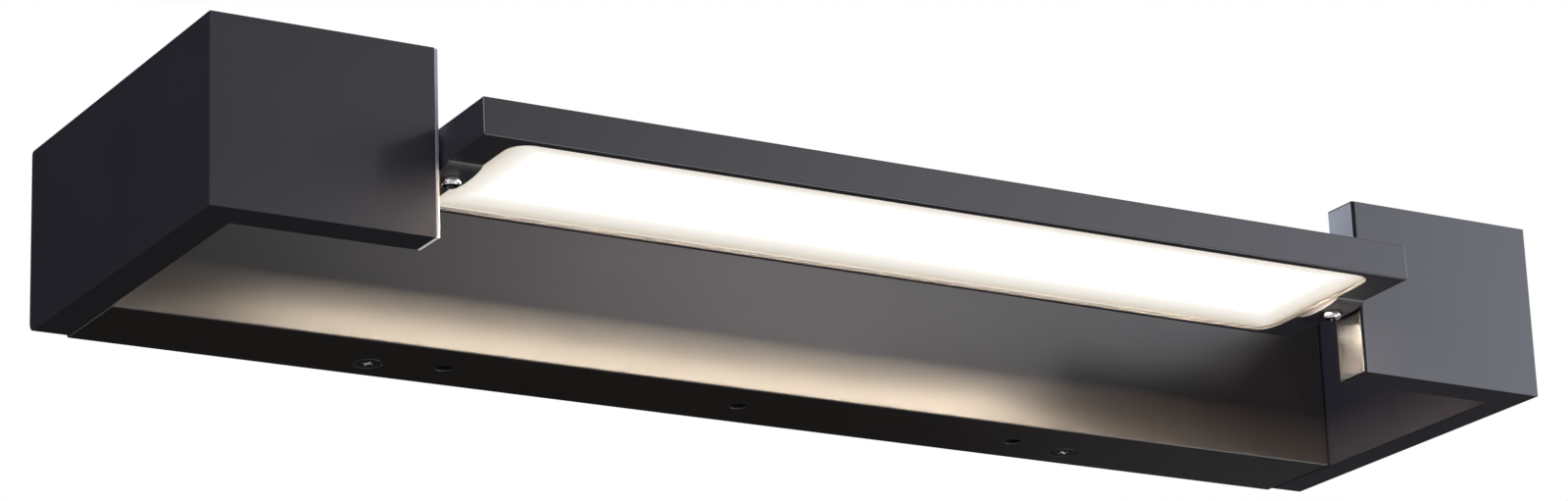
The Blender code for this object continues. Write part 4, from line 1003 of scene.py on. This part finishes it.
def lit_opal():
    """Opal acrylic lit from behind: a bright edge line, a cream rim, a white skin and the full glow.

    The full glow is stronger at the right end, and the edge line fades out there. Both are fitted
    to the photo.
    """
    finish = coated("opal", Base_Color=(*OPAL_BODY, 1.0), Roughness=0.32, IOR=1.49, Emission_Strength=GLOW)
    x, y = finish.axes(finish.seated(PIVOT, HEAD_TILT))[:2]
    ends = POCKET_END - x.size()
    front = y - POCKET_FRONT
    rear = POCKET_REAR - y
    skin = (ends / FADE_END).below(front / FADE_FRONT).below(rear / FADE_REAR).held() ** SKIN_CURVE
    core = (ends - FADE_END).below(front - FADE_FRONT).below(rear - FADE_REAR)
    core = (core / CORE_FADE).held() ** CORE_CURVE
    rim = finish.blended(skin, GLOW_RIM, GLOW_SKIN)
    fed = ((x - FED_FROM) / FED_OVER).held()
    line = ends.below(LINE_AT_FRONT * front).below(LINE_AT_REAR * rear) < LINE_WIDTH
    line = line * (1 - fed)
    rim = finish.blended(line, rim, GLOW_LINE)
    full = finish.blended(fed, GLOW_FAR, GLOW_NEAR)
    finish.shows("Emission Color", finish.blended(core, rim, full))
    finish.raised(finish.grain(OPAL_GRAIN, 2.0), OPAL_RELIEF)
    return finish.owner


cover = upright_slab("opal_cover", (COVER_GAP - POCKET_END, POCKET_FRONT + COVER_GAP, COVER_LOW),
                     (POCKET_END - COVER_GAP, POCKET_REAR - COVER_GAP, COVER_HIGH),
                     POCKET_CORNER - COVER_GAP, Z_AXIS)
rounded(cover, COVER_EDGE, steps=3)
on_pivots(cover)
stands_for(cover, "diffuser", "head", lit_opal())


# Pivot screws
# Nickel-plated pan-head screws with a cross recess, driven up into the lamp head's lobes. Their
# tips press on the hollow shafts and brake the head where it is set.
PAN_RADIUS = 2.6 * MM
PAN_HEIGHT = 1.7 * MM
PAN_DOME = 1.0 * MM
PAN_LEVEL = -8.3 * MM
SHANK_RADIUS = 1.5 * MM
SHANK_LENGTH = 4.1 * MM
PAN_TURNS = (math.radians(24), math.radians(-17))
PAN_CROSS_REACH = 0.6 * PAN_RADIUS
PAN_CROSS_WIDTH = 0.15 * PAN_RADIUS
PAN_CROSS_DEPTH = 0.6 * PAN_HEIGHT

for side, word, spin in ((-1, "left", PAN_TURNS[0]), (1, "right", PAN_TURNS[1])):
    screw = rod(word + "_pivot_screw", PAN_RADIUS, (0, 0, 0), (0, 0, PAN_HEIGHT))
    pick(screw, lambda edge: near(middle(edge).z, 0), "EDGE")
    eased(PAN_DOME, steps=8)
    pick(screw, lambda face: face.normal.z > 0.9)
    bpy.ops.mesh.inset(thickness=PAN_RADIUS - SHANK_RADIUS)
    pulled(0, 0, SHANK_LENGTH)
    cross_cut(screw, PAN_CROSS_REACH, PAN_CROSS_WIDTH, PAN_CROSS_DEPTH)
    seated(screw, (side * (HEAD_END - SCREW_INSET), 0, PAN_LEVEL), (0, 0, spin))
    on_pivots(screw)
    stands_for(screw, "pivot_screw_" + word, "head", nickel)


# Studio
# A wide pale floor far below, and soft lamps: a key from the right, a weak fill from the left, and
# narrow ones that draw the bright edges. Dark cards, which the camera doesn't see, keep
# reflections off the underside and the sides.
FLOOR_LEVEL = -6.0
FLOOR_SIZE = 240.0
WHITE = (1.0, 1.0, 1.0)
DIM_WORLD = 0.22
SEEN = ("Is Camera Ray", "Is Glossy Ray", "Is Transmission Ray")
COOL = (0.77, 0.84, 1.0)
VIOLET = (0.86, 0.82, 1.0)
WARM = (1.0, 0.93, 0.91)
# Each lamp: its turn to the right and rise in degrees, distance, width, radiance and colour.
LAMPS = (("key", 65, 7, 1.6, 0.95, 7.6, COOL),
         ("fill", -35, 55, 2.4, 2.0, 0.75, VIOLET),
         ("strip", 31.5, 17.5, 1.6, 0.16, 17.0, WARM),
         ("edge_light", -60, 18, 1.8, 0.6, 22.0, VIOLET),
         ("low_light", 58, -54, 1.6, 0.25, 55.0, WHITE),
         ("seam_light", -159, -30, 1.6, 0.25, 5.0, WHITE),
         ("wall_light", 180, -10, 3.0, 1.2, 0.6, WHITE),
         ("rear_light", -169.7, 22.4, 0.363, 0.22, 1.45, COOL))
# Each card: the way to it, its distance, width and grey.
CARDS = (("underside_card", (0.08, 0.95, -0.34), 1.7, 2.6, 0.004),
         ("side_card", (0.733, 0.615, -0.292), 1.95, 2.0, 0.24),
         ("low_card", (0.62, 0.60, -0.51), 1.7, 0.9, 0.004),
         ("left_card", (-0.40, 0.86, 0.32), 1.7, 2.0, 0.004),
         ("front_card", (0.05, -0.94, 0.36), 1.7, 1.1, 0.004))
FLOOR_GREY = (0.8, 0.8, 0.8)


def seen_rays(finish):
    """1 for the rays that show the background, and 0 for those that light the object."""
    rays = finish.node("LightPath")
    total = sum(Wire(finish, rays.socket.node.outputs[name]) for name in SEEN)
    return total.held()


def softbox(name, turn, rise, distance, size, radiance, colour):
    """A square lamp that faces the light from a turn to its right and a rise above it, in degrees."""
    turn = math.radians(turn)
    rise = math.radians(rise)
    out = Vector((math.sin(turn) * math.cos(rise), -math.cos(turn) * math.cos(rise), math.sin(rise)))
    clear()
    bpy.ops.object.light_add(type="AREA", location=VIEW_CENTRE + out * distance,
                             rotation=out.to_track_quat("Z", "Y").to_euler())
    lamp = bpy.context.object
    lamp.name = name
    lamp.visible_camera = False
    lamp.data.size = size
    lamp.data.color = colour
    lamp.data.energy = radiance * math.pi * size ** 2


for lamp in LAMPS:
    softbox(*lamp)

clear()
bpy.ops.mesh.primitive_plane_add(size=FLOOR_SIZE, location=(0, 0, FLOOR_LEVEL))
floor = named("floor")
paper = coated("floor_paper", Base_Color=(*FLOOR_GREY, 1.0), Roughness=0.9)
glow = paper.node("Emission", None, {"Color": (*WHITE, 1.0), "Strength": 1.0})
body = Wire(paper, paper.shader.outputs[0])
surface = paper.node("MixShader", None, {0: seen_rays(paper), 1: body, 2: glow})
paper.tree.links.new(surface.socket, paper.tree.nodes["Material Output"].inputs["Surface"])
coat(floor, paper.owner)

for name, out, distance, size, tone in CARDS:
    out = Vector(out).normalized()
    clear()
    bpy.ops.mesh.primitive_plane_add(size=size, location=out * distance,
                                     rotation=out.to_track_quat("Z", "Y").to_euler())
    card = named(name)
    cloth = coated(name, Base_Color=(tone, tone, tone, 1.0), Roughness=1.0, Specular_IOR_Level=0.0)
    coat(card, cloth.owner)
    card.visible_camera = False
    card.visible_shadow = False

scene = bpy.context.scene
scene.view_settings.view_transform = "Standard"
world = bpy.data.worlds.new("studio")
scene.world = world
air = Finish(world, "Background", Color=(*WHITE, 1.0))
air.shows("Strength", DIM_WORLD + (1 - DIM_WORLD) * seen_rays(air))

clear()
